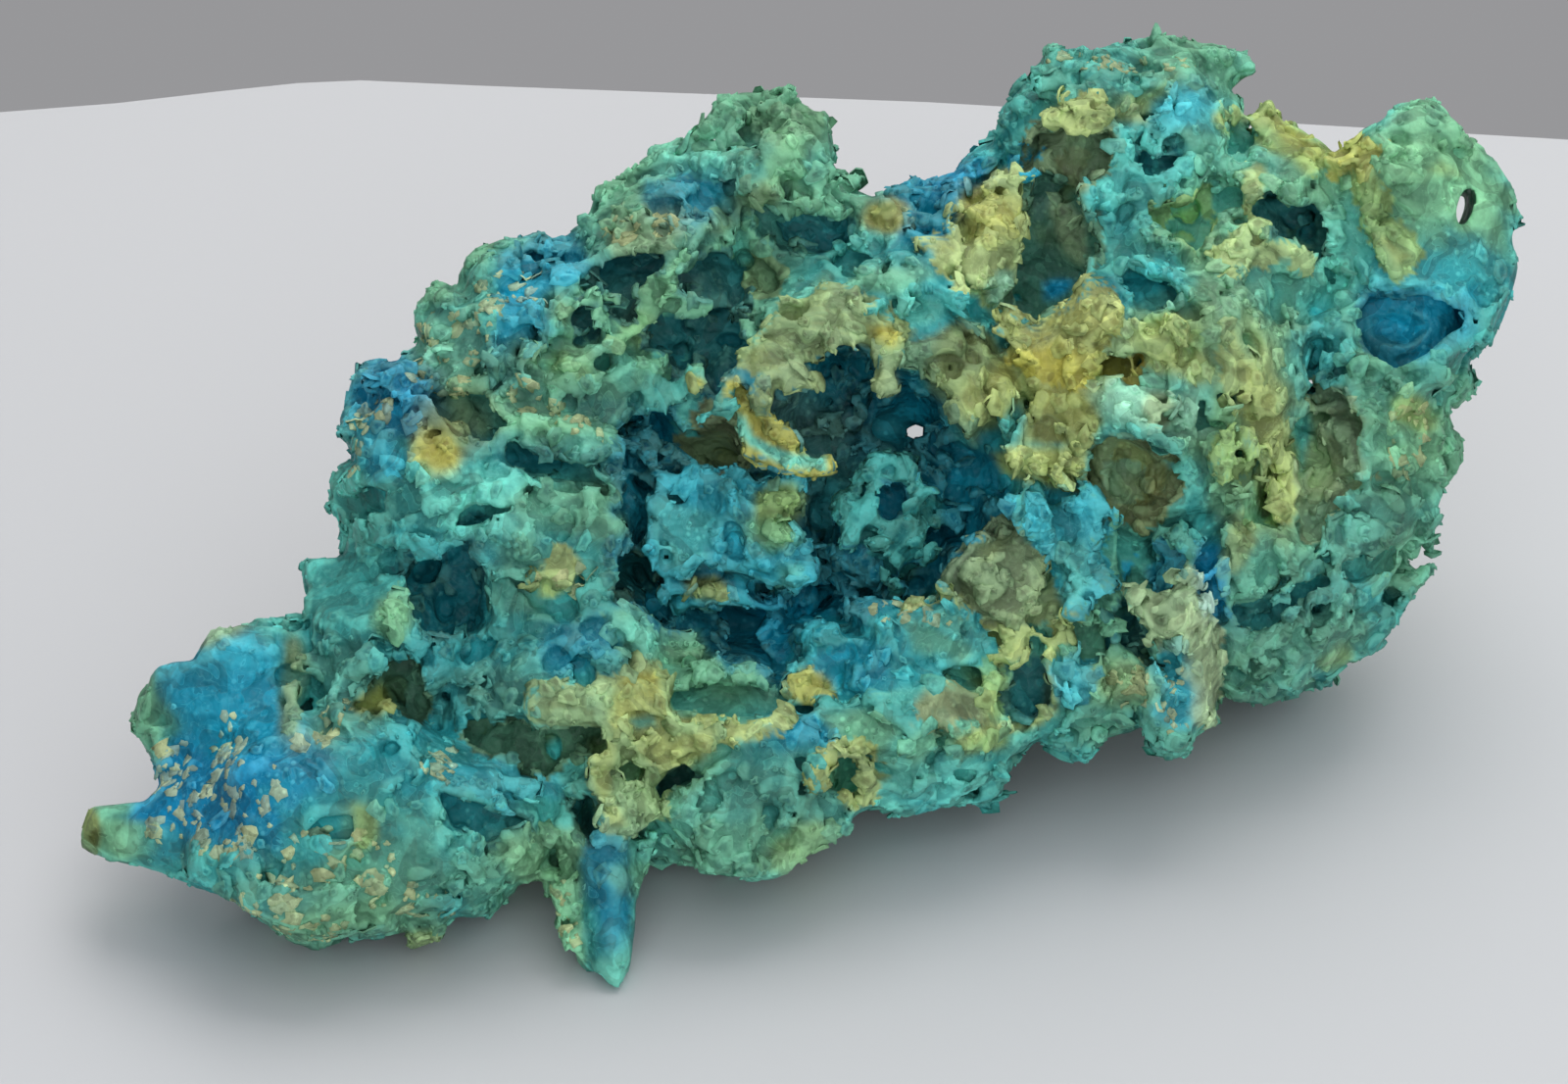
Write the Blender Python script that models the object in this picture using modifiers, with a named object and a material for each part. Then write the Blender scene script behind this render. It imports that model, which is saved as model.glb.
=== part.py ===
"""Chalcanthite specimen: one grown, spongy mass of copper sulphate, about 120 mm long.

The mass lies on a few low points. Its open face, which holds the great hollow, leans back from the
ground. Every form is placed on that face: `along` runs to the right, `up` runs up the face and `out`
stands out of it, all in millimetres from the middle of the face. The solid is made in the order in
which the forms overlie each other: masses, great hollow, what grew inside it, smaller hollows,
ledges and rims, then pits. It is cut flat where it rests on the ground.
"""

import math
import random

import bmesh
import bpy
from mathutils import Matrix, Vector
from mathutils.bvhtree import BVHTree

MM = 0.001
FACE_LEAN = math.radians(35)        # how far the open face leans back
FACE_HEIGHT = 27 * MM               # middle of the face above the ground
FACE_SHIFT = (-1.5 * MM, -8.0 * MM)  # puts the box's middle over the origin

FUSE_VOXEL = 0.8 * MM               # grain at which overlapping forms grow together
TRIANGLES = 9600                    # faceted solid's budget
SINK = 60 * MM                      # depth of the block that cuts the resting face

# Masses: along, up, out, then half sizes in the same three directions, then turn in degrees.
MASSES = {
    "ear": (-46.8, -12.9, -1, 8.2, 6.6, 7, 20),
    "ear top": (-42.8, -9.5, -3, 4.5, 3.9, 6, 0),
    "belly": (-37.2, -23.2, 3.5, 13, 10.4, 10, -8),
    "belly heel": (-27.5, -24.5, 2, 9, 7, 9, 0),
    "shoulder": (-33.3, -8.5, -2, 7.4, 8.6, 10, 0),
    "left wall": (-30, 3, -4, 8, 8, 10, 0),
    "left brow": (-28.5, 8.5, -6, 8, 7.2, 10, 10),
    "left knob": (-33.2, 12, -7, 3.2, 3.4, 7, 0),
    "brow knob": (-24, 16.3, -8, 6.9, 7.6, 9, 30),
    "brow crest": (-17.5, 16.5, -9, 8, 8, 10, 20),
    "rise": (-10.5, 21.5, -11, 7.4, 8.6, 11, 40),
    "rise top": (-9.5, 27, -11, 5.2, 6.6, 8, 30),
    "first peak": (-1, 29.8, -12, 5.6, 8.4, 8, 0),
    "first peak heel": (3.4, 25, -13, 5, 6, 8, -20),
    "saddle": (9, 21.3, -15, 7, 8.3, 10, 10),
    "saddle rise": (15, 24, -16, 5.5, 8.3, 10, 0),
    "second peak": (24.2, 30.5, -17, 7.8, 10.7, 11, -10),
    "second peak right": (32.6, 32.3, -19, 6.5, 9.7, 11, 0),
    "dip": (41, 25.5, -19, 7.5, 9.2, 12, -15),
    "right lobe": (54, 27.2, -19, 8.2, 9.2, 9, 10),
    "right wall": (52.4, 18, -20, 8.4, 8, 12, 0),
    "right flank": (48.2, 6, -20, 8.2, 9, 13, 0),
    "right heel": (45.6, -0.6, -20, 8.5, 7.6, 12, 30),
    "right keel": (39.6, -4.2, -17, 8, 7.8, 12, 0),
    "right core": (31, 12, -16, 13, 18, 15, 0),
    "middle core": (4, 5, -12, 21, 21, 16, 0),
    "lower middle": (9, -14, -7, 12, 8.8, 9, 8),
    "lower lip": (-4.5, -18.5, -2, 11, 9.6, 9, 0),
    "lower left": (-19, -15, -2, 10, 12, 10, 0),
    "lower right": (24, -9, -9, 8, 8.5, 8, 0),
    "left core": (-22, 0, -5, 13, 14, 11, 0),
    "back": (10, 6, -25, 17, 10, 8, -10),
    "back heel": (16, -0.5, -28, 9.5, 7, 8, 20),
    "back foot": (6, -4.2, -30.5, 8.5, 7.5, 9, -15),
    "back knob": (-5, 0.5, -24, 7, 9, 8, 10),
    "back lobe": (33, 10, -29, 9.5, 8, 7, 30),
    "right foot": (38, -7, -25, 8, 8, 8, 0),
}

# Limbs: start and end points, then the radius at each.
LIMBS = {
    "stem": ((-57.4, -23.8, 1), (-45, -22.8, 2.5), 2.2, 6.5),
    "spur": ((-16, -24, 4), (-13.9, -37.4, 6.3), 4.6, 1.4),
    "spur prong": ((-17.8, -27, 4), (-17.4, -36.0, 5), 2.4, 1.2),
    "column": ((33, -1, -3), (32.4, -15.5, -4.5), 3.4, 2.1),
}

GREAT_HOLLOW = {
    "left": (-5, -2, -1, 10, 9.5, 13, 0),
    "right": (7.5, 3.5, -2, 11.5, 12.5, 16, 0),
    "roof": (5, 11.5, -4, 5, 6, 10, 0),
    "left nook": (-12.5, 4, -2, 3, 6.5, 8, 0),
    "left pit": (-12.5, -3.5, -3, 2.8, 3, 11, 0),
}

INSIDE = {
    "blue tongue": (-5.5, 1, -7, 6.4, 6.3, 3.5, 0),
    "blue tongue foot": (-3, -4, -7, 5, 2.5, 2.5, 0),
    "teal tongue": (9, 2.5, -9.5, 4.2, 5.8, 4, -15),
    "tan dome": (18.3, -3, -4, 4.3, 4.9, 4.5, 0),
    "ridge": (9.5, -9, -4, 8.5, 3.2, 5, -5),
}

# Hollows are sunk from the surface that they open in:
# along, up, half width, half height, depth, then turn in degrees.
HOLLOWS = {
    "under the rise": (-7, 17.2, 3.2, 2.2, 6, 10),
    "in the rise": (-6.7, 21.8, 3, 2, 5, 0),
    "left of the rise": (-13, 22.3, 3, 1.6, 5, 0),
    "brow": (-17, 18.7, 1.3, 1.2, 4, 0),
    "first peak": (2.5, 26.2, 3, 1.4, 5, 0),
    "slot": (22.3, 24.5, 2.3, 6, 9, -6),
    "niche under the crest": (24, 31.8, 3.2, 2.3, 5, 0),
    "blue bowl": (52.5, 17.8, 6, 4, 3, 0),
    "blue pocket": (52.2, 17.8, 3.8, 2.3, 7, -5),
    "right niche": (45.7, 7.5, 2.8, 5.0, 7, 0),
    "right niche foot": (44.7, 1.5, 1.8, 3, 5, 0),
    "middle niche": (31, 20.8, 2.8, 2, 4, -15),
    "tan niche": (28.7, 6.3, 3.6, 2.9, 6, 0),
    "column niche": (30, -2, 1.8, 1.8, 5, 0),
    "keel": (40, -2.7, 3, 2.2, 4, 10),
    "rim cup": (20.5, -12, 1.7, 2.5, 4, 0),
    "plate": (14, -13, 3.2, 2.2, 2.5, 0),
    "left hollow": (-27.5, -4, 3.5, 4.3, 6, 0),
    "olive hole": (-32.5, -12, 2.5, 2, 6, 15),
    "slit": (-21, -16.6, 5, 1.9, 6, -12),
    "slit tail": (-16.3, -22.5, 0.9, 1.6, 4, 0),
    "brow undercut": (-27, 11, 3, 2, 4, -10),
    "shadow undercut": (-18.5, 5.2, 5.5, 1.7, 3, -12),
    "left nick": (-35, 3, 2, 2, 3, 0),
    "lip hole": (-9, -19.8, 1.4, 1.2, 4, 10),
    "ring cup": (5.3, -19.3, 2, 1.8, 3.5, 0),
}

# Ledges grow on the surface: along, up, half width, half height, half thickness,
# how far they stand proud, then turn in degrees.
LEDGES = {
    "green nodule": (-18, 12, 7.0, 4.4, 5, 2.6, -12),
    "teal ledge": (-27.3, 2, 6.3, 1.9, 3.5, 3, 8),
    "yellow slab": (16.5, 24, 3.2, 5.6, 4, 2.2, -30),
    "olive slab": (15.5, 15, 4.2, 4.5, 4, 1.5, 0),
    "gold wedge": (23, 17.5, 5, 3.8, 4, 2.8, 30),
    "hanging mass": (21.5, 9, 4.2, 3.9, 4.5, 2.8, 0),
    "cream lumps": (30.5, 11.5, 4, 2.5, 3, 1.8, 0),
    "flap": (-7.3, 10.2, 3.4, 3.2, 1.5, 1.0, 20),
    "lip swell": (-12, -18, 3.4, 6, 3, 1.3, 0),
    "ring": (5.5, -19.2, 3.4, 3.2, 3, 1.2, 0),
    "strip": (24, -1.5, 3.2, 6.5, 4, 2.2, 12),
    "plates": (7, 21.6, 4.6, 1.6, 2.6, 2.2, 10),
    "brow lip": (-26.5, 13, 4.6, 1.7, 3, 2.4, -8),
    "crest flap": (44, 30.3, 4.6, 2.2, 3, 2.2, -25),
    "lobe ledge": (53, 22.6, 5.6, 1.7, 3, 2.3, 5),
    "belly ledge": (-33, -27, 5, 1.7, 3, 1.8, -5),
    "shoulder plate": (-36, -4, 3.2, 2.2, 2.6, 1.7, 20),
}

# Rims are ragged crests that follow the surface: radius, how far proud, then their points.
RIMS = {
    "arch": (1.3, 1.2, [(-2.6, 13), (0, 16), (4, 18.9), (7.5, 18.4), (9.2, 16.5), (8.7, 13)]),
    "spur over the hollow": (1.1, 0.8, [(-7, 11.6), (-3.4, 10.4), (-0.5, 8), (3, 6.8)]),
    "lower rim": (1.2, 0.8, [(-14, -6), (-10, -8.4), (-6.5, -9.4), (-3, -12), (3.5, -12.4)]),
    "lip fringe": (1.2, 1.4, [(-20, -13.8), (-15.5, -13.5), (-12, -11.4)]),
    "lip crest": (1.2, 1.0, [(-13, -14.6), (-7, -15), (-1, -14.8), (2.5, -13.2)]),
    "ridge crest": (1.2, 0.8, [(5, -7.6), (11, -6.6), (17, -8.2), (21.5, -8.6), (22.6, -6)]),
    "plate rim": (1.1, 1.0, [(9.5, -16.6), (16, -15.9), (21.3, -14.4), (22.8, -11)]),
    "cream wall": (1.7, 1.6, [(36.6, 24.4), (37.4, 17), (40, 9.5), (42.4, 3), (43.2, -1.4)]),
    "yellow crest": (1.5, 1.0, [(36.5, 34.6), (40.6, 35), (45, 31.2), (48.2, 28), (51.4, 23)]),
    "top crest": (1.6, 0.6, [(20.8, 38), (25, 40), (31, 40.3), (35.5, 39)]),
    "cream tab": (1.2, 1.4, [(22, 35.3), (25, 34.8), (28, 35.9)]),
    "strand": (1.2, 0.6, [(-18.5, 16.8), (-12.8, 19.6), (-10, 22), (-9.6, 25)]),
}

PITS = {
    "belly": (-37.5, -23.8, 1.5, 1.1, 3, 0),
    "beside the column": (28.3, -7, 1.3, 1.2, 4, 0),
    "peak upper": (31.4, 31.2, 1.1, 0.8, 3, 20),
    "peak lower": (31.8, 27, 0.9, 1.2, 3, 0),
    "peak right": (34.6, 28, 0.8, 1.2, 3, 0),
    "dip left": (41, 28, 1.5, 1.4, 4, 0),
    "dip right": (44, 25.4, 1.1, 0.9, 4, 40),
    "through the tongue": (8.7, 3.3, 1.0, 1.1, 4, 0),
    "under the blue tongue": (-4, -3.4, 3, 1.3, 2.5, 0),
}

# Windows go right through the mass: along, up, out, half sizes, turn.
WINDOWS = {
    "back window": (11.2, 9.6, -26, 1.3, 0.9, 17, 15),
    "right window": (57.5, 27.4, -19, 0.8, 1.3, 14, -30),
}

PORES = {"count": 380, "radius": (1.2, 3.0), "sunk": 0.15, "wall": 5, "seed": 11}
LUMPS = {"scale": 7.0 * MM, "height": 3.0 * MM}
CELLS = {"scale": 5.0 * MM, "height": 3.4 * MM}
GRAIN = {"scale": 2.6 * MM, "height": 1.4 * MM}

COLOUR = (0.10, 0.36, 0.33, 1.0)


def clear_scene():
    for obj in list(bpy.data.objects):
        bpy.data.objects.remove(obj)


def new_collection(name):
    collection = bpy.data.collections.new(name)
    bpy.context.scene.collection.children.link(collection)
    return collection


def face_to_world():
    """Maps along, up and out of the open face, in metres, to the object's own frame."""
    lean = Matrix.Rotation(math.pi / 2 - FACE_LEAN, 4, "X")
    return Matrix.Translation((*FACE_SHIFT, FACE_HEIGHT)) @ lean


def new_object(name, bm, collection):
    mesh = bpy.data.meshes.new(name)
    bm.to_mesh(mesh)
    bm.free()
    obj = bpy.data.objects.new(name, mesh)
    collection.objects.link(obj)
    return obj


def add_ellipsoid(bm, centre, sizes, turn, subdivisions=3):
    place = (
        Matrix.Translation(Vector(centre) * MM)
        @ Matrix.Rotation(math.radians(turn), 4, "Z")
        @ Matrix.Diagonal((*(size * MM for size in sizes), 1))
    )
    bmesh.ops.create_icosphere(
        bm, subdivisions=subdivisions, radius=1, matrix=face_to_world() @ place
    )


def add_limb(bm, start, end, radius_start, radius_end):
    """A cone with a ball at each end."""
    start, end = Vector(start), Vector(end)
    reach = end - start
    aim = reach.to_track_quat("Z", "Y").to_matrix().to_4x4()
    middle = Matrix.Translation((start + end) / 2 * MM)
    bmesh.ops.create_cone(
        bm,
        cap_ends=True,
        segments=16,
        radius1=radius_start * MM,
        radius2=radius_end * MM,
        depth=reach.length * MM,
        matrix=face_to_world() @ middle @ aim,
    )
    for centre, radius in ((start, radius_start), (end, radius_end)):
        add_ellipsoid(bm, centre, (radius,) * 3, 0, subdivisions=2)


def fuse(obj, voxel=FUSE_VOXEL):
    remesh = obj.modifiers.new("Grown together", "REMESH")
    remesh.mode = "VOXEL"
    remesh.voxel_size = voxel
    return obj


def displace(obj, name, texture_type, settings):
    texture = bpy.data.textures.new(name, texture_type)
    texture.noise_scale = settings["scale"]
    modifier = obj.modifiers.new(name, "DISPLACE")
    modifier.texture = texture
    modifier.texture_coords = "GLOBAL"
    modifier.strength = settings["height"]
    modifier.mid_level = 0.5


def as_tool(name, bm, tools):
    """A helper solid, fused into one body, that cuts or joins the specimen."""
    tool = fuse(new_object(name, bm, tools))
    tool.display_type = "WIRE"
    tool.hide_render = True
    return tool


def combine(obj, tool, operation):
    modifier = obj.modifiers.new(f"{operation.title()} {tool.name}", "BOOLEAN")
    modifier.operation = operation
    modifier.solver = "EXACT"
    modifier.object = tool


def overlay(obj, tool, operation):
    """Joins or cuts a body, then grows the two surfaces together, so that the next one meets a clean mesh."""
    combine(obj, tool, operation)
    fuse(obj)


class OpenFace:
    """Finds the surface of the specimen as it is now, looking straight into its open face."""

    def __init__(self, obj):
        bpy.context.view_layer.update()
        self.tree = BVHTree.FromObject(obj, bpy.context.evaluated_depsgraph_get())
        self.place = face_to_world()

    def out_at(self, along, up, missed=-10.0):
        """How far out the surface stands at this spot, in millimetres."""
        start = self.place @ (Vector((along, up, 60)) * MM)
        towards = self.place.to_3x3() @ Vector((0, 0, -1))
        hit = self.tree.ray_cast(start, towards)[0]
        return missed if hit is None else (self.place.inverted() @ hit).z / MM


def solid_of(table, limbs=None):
    bm = bmesh.new()
    for along, up, out, *sizes, turn in table.values():
        add_ellipsoid(bm, (along, up, out), sizes, turn)
    for limb in (limbs or {}).values():
        add_limb(bm, *limb)
    return bm


def sunk_from(face, table):
    bm = bmesh.new()
    for along, up, width, height, depth, turn in table.values():
        out = face.out_at(along, up) + 0.15 * depth
        add_ellipsoid(bm, (along, up, out), (width, height, depth), turn)
    return bm


def grown_on(face):
    """The ledges and rims."""
    bm = bmesh.new()
    for along, up, width, height, thickness, proud, turn in LEDGES.values():
        out = face.out_at(along, up) + proud - thickness
        add_ellipsoid(bm, (along, up, out), (width, height, thickness), turn)
    for radius, proud, points in RIMS.values():
        spots = [(a, u, face.out_at(a, u) + proud - radius) for a, u in points]
        for start, end in zip(spots, spots[1:]):
            add_limb(bm, start, end, radius, radius)
    return bm


def add_pores(bm, obj):
    """Small bubbles scattered over the surface, but not where a limb is too thin to hold one."""
    rng = random.Random(PORES["seed"])
    graph = bpy.context.evaluated_depsgraph_get()
    tree = BVHTree.FromObject(obj, graph)
    mesh = obj.evaluated_get(graph).to_mesh()
    for _ in range(PORES["count"]):
        spot = mesh.vertices[rng.randrange(len(mesh.vertices))]
        radius = rng.uniform(*PORES["radius"]) * MM
        thickness = tree.ray_cast(spot.co - spot.normal * 0.1 * MM, -spot.normal)[3]
        if thickness is None or thickness < PORES["wall"] * radius:
            continue
        centre = spot.co - spot.normal * radius * PORES["sunk"]
        bmesh.ops.create_icosphere(
            bm, subdivisions=2, radius=radius, matrix=Matrix.Translation(centre)
        )
    obj.evaluated_get(graph).to_mesh_clear()


def keep_largest_shell(mesh):
    """Drops crumbs that the cuts left loose and bubbles that they left sealed inside."""
    bm = bmesh.new()
    bm.from_mesh(mesh)
    unseen, shells = set(bm.verts), []
    while unseen:
        queue = [unseen.pop()]
        shell = list(queue)
        while queue:
            for edge in queue.pop().link_edges:
                for vert in edge.verts:
                    if vert in unseen:
                        unseen.remove(vert)
                        queue.append(vert)
                        shell.append(vert)
        shells.append(shell)
    shells.sort(key=len)
    for shell in shells[:-1]:
        bmesh.ops.delete(bm, geom=shell, context="VERTS")
    bmesh.ops.triangulate(bm, faces=bm.faces)
    bm.to_mesh(mesh)
    bm.free()


def make_material():
    material = bpy.data.materials.new("chalcanthite")
    material.use_nodes = True
    surface = material.node_tree.nodes["Principled BSDF"]
    surface.inputs["Base Color"].default_value = COLOUR
    surface.inputs["Roughness"].default_value = 0.5
    surface.inputs["Metallic"].default_value = 0.0
    return material


def grow_specimen(parts, tools):
    rough = as_tool("masses", solid_of(MASSES, LIMBS), tools)
    displace(rough, "Lumps", "CLOUDS", LUMPS)
    displace(rough, "Cells", "VORONOI", CELLS)
    fuse(rough)
    overlay(rough, as_tool("great hollow", solid_of(GREAT_HOLLOW), tools), "DIFFERENCE")
    overlay(rough, as_tool("inside", solid_of(INSIDE), tools), "UNION")
    overlay(rough, as_tool("hollows", sunk_from(OpenFace(rough), HOLLOWS), tools), "DIFFERENCE")
    overlay(rough, as_tool("ledges", grown_on(OpenFace(rough)), tools), "UNION")

    small = sunk_from(OpenFace(rough), PITS)
    for along, up, out, *sizes, turn in WINDOWS.values():
        add_ellipsoid(small, (along, up, out), sizes, turn)
    add_pores(small, rough)
    overlay(rough, as_tool("pits", small, tools), "DIFFERENCE")
    displace(rough, "Grain", "CLOUDS", GRAIN)
    bpy.context.view_layer.update()

    graph = bpy.context.evaluated_depsgraph_get()
    mesh = bpy.data.meshes.new_from_object(rough.evaluated_get(graph))
    mesh.name = "chalcanthite"
    keep_largest_shell(mesh)
    specimen = bpy.data.objects.new("chalcanthite", mesh)
    parts.objects.link(specimen)
    mesh.materials.clear()
    mesh.materials.append(make_material())

    decimate = specimen.modifiers.new("Facets", "DECIMATE")
    decimate.ratio = min(1.0, TRIANGLES / len(mesh.polygons))

    bm = bmesh.new()
    bmesh.ops.create_cube(
        bm, size=1, matrix=Matrix.Translation((0, 0, -SINK / 2)) @ Matrix.Diagonal((0.2, 0.2, SINK, 1))
    )
    ground = new_object("ground", bm, tools)
    ground.display_type = "WIRE"
    ground.hide_render = True
    combine(specimen, ground, "DIFFERENCE")
    return specimen


def main():
    clear_scene()
    parts = new_collection("chalcanthite specimen")
    tools = new_collection("cutters")
    grow_specimen(parts, tools)


main()
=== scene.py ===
# Chalcanthite specimen: the fine growth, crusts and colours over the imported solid
import math

import bpy
import numpy as np
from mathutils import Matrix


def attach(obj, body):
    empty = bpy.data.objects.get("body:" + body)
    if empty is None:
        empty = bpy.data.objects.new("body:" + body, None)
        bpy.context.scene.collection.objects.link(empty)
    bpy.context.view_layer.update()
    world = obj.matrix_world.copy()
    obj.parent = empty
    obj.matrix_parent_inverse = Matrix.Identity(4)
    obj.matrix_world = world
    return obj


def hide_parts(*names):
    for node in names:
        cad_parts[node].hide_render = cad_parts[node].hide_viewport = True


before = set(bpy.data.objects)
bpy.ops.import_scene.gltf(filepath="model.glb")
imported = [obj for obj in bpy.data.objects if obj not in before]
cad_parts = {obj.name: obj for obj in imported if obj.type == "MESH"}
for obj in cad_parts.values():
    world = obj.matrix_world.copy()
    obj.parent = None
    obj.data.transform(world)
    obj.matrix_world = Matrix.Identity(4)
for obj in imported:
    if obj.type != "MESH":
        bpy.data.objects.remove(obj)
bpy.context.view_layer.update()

import openvdb
from mathutils import Vector

mm = 0.001

# The open face: along runs right, up runs up the face, out stands out of it, all in mm
face = {
    "lean": 35.0,  # degrees it leans back
    "middle": (-1.5, -8.0, 27.0),
    "low": (-63.0, -41.5, -45.0),  # the space that the growth fills
    "high": (64.0, 43.5, 19.0),
    "grain": 0.38,
    "eye": 722.7,  # the outlines below are as seen from this far off
}

lean = math.radians(face["lean"])
middle = np.array(face["middle"], np.float32)
upAxis = np.array((0, math.sin(lean), math.cos(lean)), np.float32)
outAxis = np.array((0, -math.cos(lean), math.sin(lean)), np.float32)
low = np.array(face["low"])
high = np.array(face["high"])
grain = face["grain"]
cells = np.ceil((high - low) / grain).astype(int) + 1
ticks = [(low[k] + grain * np.arange(cells[k])).astype(np.float32) for k in range(3)]
flatAlong = ticks[0][:, None]
flatUp = ticks[1][None, :]


def faceToFrame(points):
    # mm on the face to metres in the shared frame
    along, up, out = points[:, 0:1], points[:, 1:2], points[:, 2:3]
    side = np.array((1, 0, 0), np.float32)
    return (middle + along * side + up * upAxis + out * outAxis) * mm


def knotWeights(line, start, space):
    # how much each knot of a smooth curve counts at each cell of a line
    knots = int(math.ceil((line[-1] - start) / space)) + 4
    t = (line - start) / space + 1
    i = np.floor(t).astype(int)
    f = t - i
    weights = np.zeros((len(line), knots + 3), np.float32)
    spline = ((1 - f) ** 3 / 6, (3 * f**3 - 6 * f * f + 4) / 6,
              (-3 * f**3 + 3 * f * f + 3 * f + 1) / 6, f**3 / 6)
    for k, part in enumerate(spline):
        weights[np.arange(len(line)), np.clip(i - 1 + k, 0, knots + 2)] += part
    return weights


def cloud(space, seed):
    # smooth random field, about -1 to 1, with lumps of this size in mm
    weights = [knotWeights(ticks[k], low[k], space) for k in range(3)]
    knots = np.random.default_rng(seed).uniform(-1, 1, [w.shape[1] for w in weights])
    value = np.tensordot(weights[0], knots.astype(np.float32), (1, 0))
    value = np.tensordot(value, weights[1], (1, 1))
    value = np.tensordot(value, weights[2], (1, 1))
    return (value * 1.9).astype(np.float32)


def clouds(sizes, seed):
    # one uneven field made of several sizes of lump
    total = 0
    for k, (space, amount) in enumerate(sizes):
        total = total + amount * cloud(space, seed + k)
    return total


def flatClouds(sizes, seed):
    # the same on the face plane alone
    total = 0
    for k, (space, amount) in enumerate(sizes):
        weights = [knotWeights(ticks[axis], low[axis], space) for axis in (0, 1)]
        knots = np.random.default_rng(seed + k).uniform(-1, 1, [w.shape[1] for w in weights])
        total = total + amount * 1.7 * (weights[0] @ knots.astype(np.float32) @ weights[1].T)
    return total


def blockAround(centre, reach, pad):
    # the grid cells near a form, or None where it lies outside
    spans = []
    for k in range(3):
        first = max(0, int((centre[k] - reach[k] - pad - low[k]) / grain))
        last = min(cells[k], int((centre[k] + reach[k] + pad - low[k]) / grain) + 2)
        if last <= first:
            return None
        spans.append(slice(first, last))
    return tuple(spans)


def bentCoords(block, bend):
    # face coordinates in a block, bent by the growth's own unevenness
    return (ticks[0][block[0], None, None] + bend * wander[0][block],
            ticks[1][None, block[1], None] + bend * wander[1][block],
            ticks[2][None, None, block[2]] + bend * wander[2][block])


def turned(x, y, degrees):
    # places beside a form that is turned by this angle
    angle = math.radians(degrees)
    return x * math.cos(angle) + y * math.sin(angle), y * math.cos(angle) - x * math.sin(angle)


def ovalDistance(x, y, along, up, wide, tall, turn=0):
    # 0 in the middle of an oval on the face, 1 on its edge
    x, y = turned(x - along, y - up, turn)
    return np.sqrt((x / wide) ** 2 + (y / tall) ** 2)


def ball(along, up, out, halfWidth, halfHeight, halfDepth, turn=0, bend=1.0):
    # an uneven ellipsoid: how deep each cell lies in it, in mm
    wide = max(halfWidth, halfHeight)
    block = blockAround((along, up, out), (wide, wide, halfDepth), 3.5)
    x, y, z = bentCoords(block, bend)
    x, y, z = x - along, y - up, z - out
    if turn:
        x, y = turned(x, y, turn)
    near = np.sqrt((x / halfWidth) ** 2 + (y / halfHeight) ** 2 + (z / halfDepth) ** 2) + 1e-6
    steep = np.sqrt((x / halfWidth**2) ** 2 + (y / halfHeight**2) ** 2 + (z / halfDepth**2) ** 2)
    return block, -near * (near - 1) / (steep + 1e-6)


def limb(start, end, startRadius, endRadius, bend=0.7):
    # an uneven tapered rod: how deep each cell lies in it, in mm
    start, end = np.array(start, float), np.array(end, float)
    block = blockAround((start + end) / 2, np.abs(end - start) / 2 + max(startRadius, endRadius), 3)
    x, y, z = bentCoords(block, bend)
    way = end - start
    t = (x - start[0]) * way[0] + (y - start[1]) * way[1] + (z - start[2]) * way[2]
    t = np.clip(t / (way @ way), 0, 1)
    away = np.sqrt((x - start[0] - t * way[0]) ** 2 + (y - start[1] - t * way[1]) ** 2
                   + (z - start[2] - t * way[2]) ** 2)
    return block, startRadius + (endRadius - startRadius) * t - away


def softMax(one, other, blend):
    # the larger of two depths, rounded where they meet
    share = np.clip(0.5 + 0.5 * (other - one) / blend, 0, 1)
    return one + (other - one) * share + blend * share * (1 - share)


def softMin(one, other, blend):
    return -softMax(-one, -other, blend)


def grow(form, blend):
    block, depth = form
    mass[block] = softMax(mass[block], depth, blend)


def carve(form, blend):
    block, depth = form
    mass[block] = softMin(mass[block], -depth, blend)


def claim(name, block, taken, line):
    # these cells take the form's colour, and its rim shows as a pale line
    owner[block][taken] = numberOf[name]
    rimmed[block] = np.where(taken, line, np.maximum(rimmed[block], line))


def blurred(flat, reach):
    # a flat map averaged over a square, twice
    steps = max(1, int(round(reach / grain)))
    for _ in range(2):
        for axis in (0, 1):
            padded = np.concatenate([np.repeat(flat.take([0], axis), steps + 1, axis), flat,
                                     np.repeat(flat.take([-1], axis), steps, axis)], axis)
            sums = np.cumsum(padded, axis)
            count = flat.shape[axis]
            width = 2 * steps + 1
            flat = (sums.take(range(width, width + count), axis)
                    - sums.take(range(count), axis)) / width
    return flat


def frontDepth(reach):
    # how far out the front stands in every column, smoothed and carried on past the edge
    solid = mass > 0
    first = cells[2] - 1 - np.argmax(solid[:, :, ::-1], axis=2)
    depth = ticks[2][first].astype(np.float64)
    known = solid.any(2).astype(np.float64)
    total, share = depth * known, known
    for _ in range(6):  # each round carries it a little further past the edge
        total, share = blurred(total, reach), blurred(share, reach)
        filled = total / np.maximum(share, 1e-6)
        if share.min() > 1e-4:
            break
        total = np.where(known > 0, depth, filled) * np.minimum(1, share * 50 + known)
        share = np.minimum(1, share * 50 + known)
    return np.where(share > 1e-4, filled, -12).astype(np.float32)  # far behind where nothing is near


def nearestCell(places, axis):
    return np.clip(np.round((places - low[axis]) / grain).astype(int), 0, cells[axis] - 1)


def flatDepth(depth, along, up):
    # a flat map read at its nearest cell
    return depth[nearestCell(along, 0), nearestCell(up, 1)]


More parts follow.
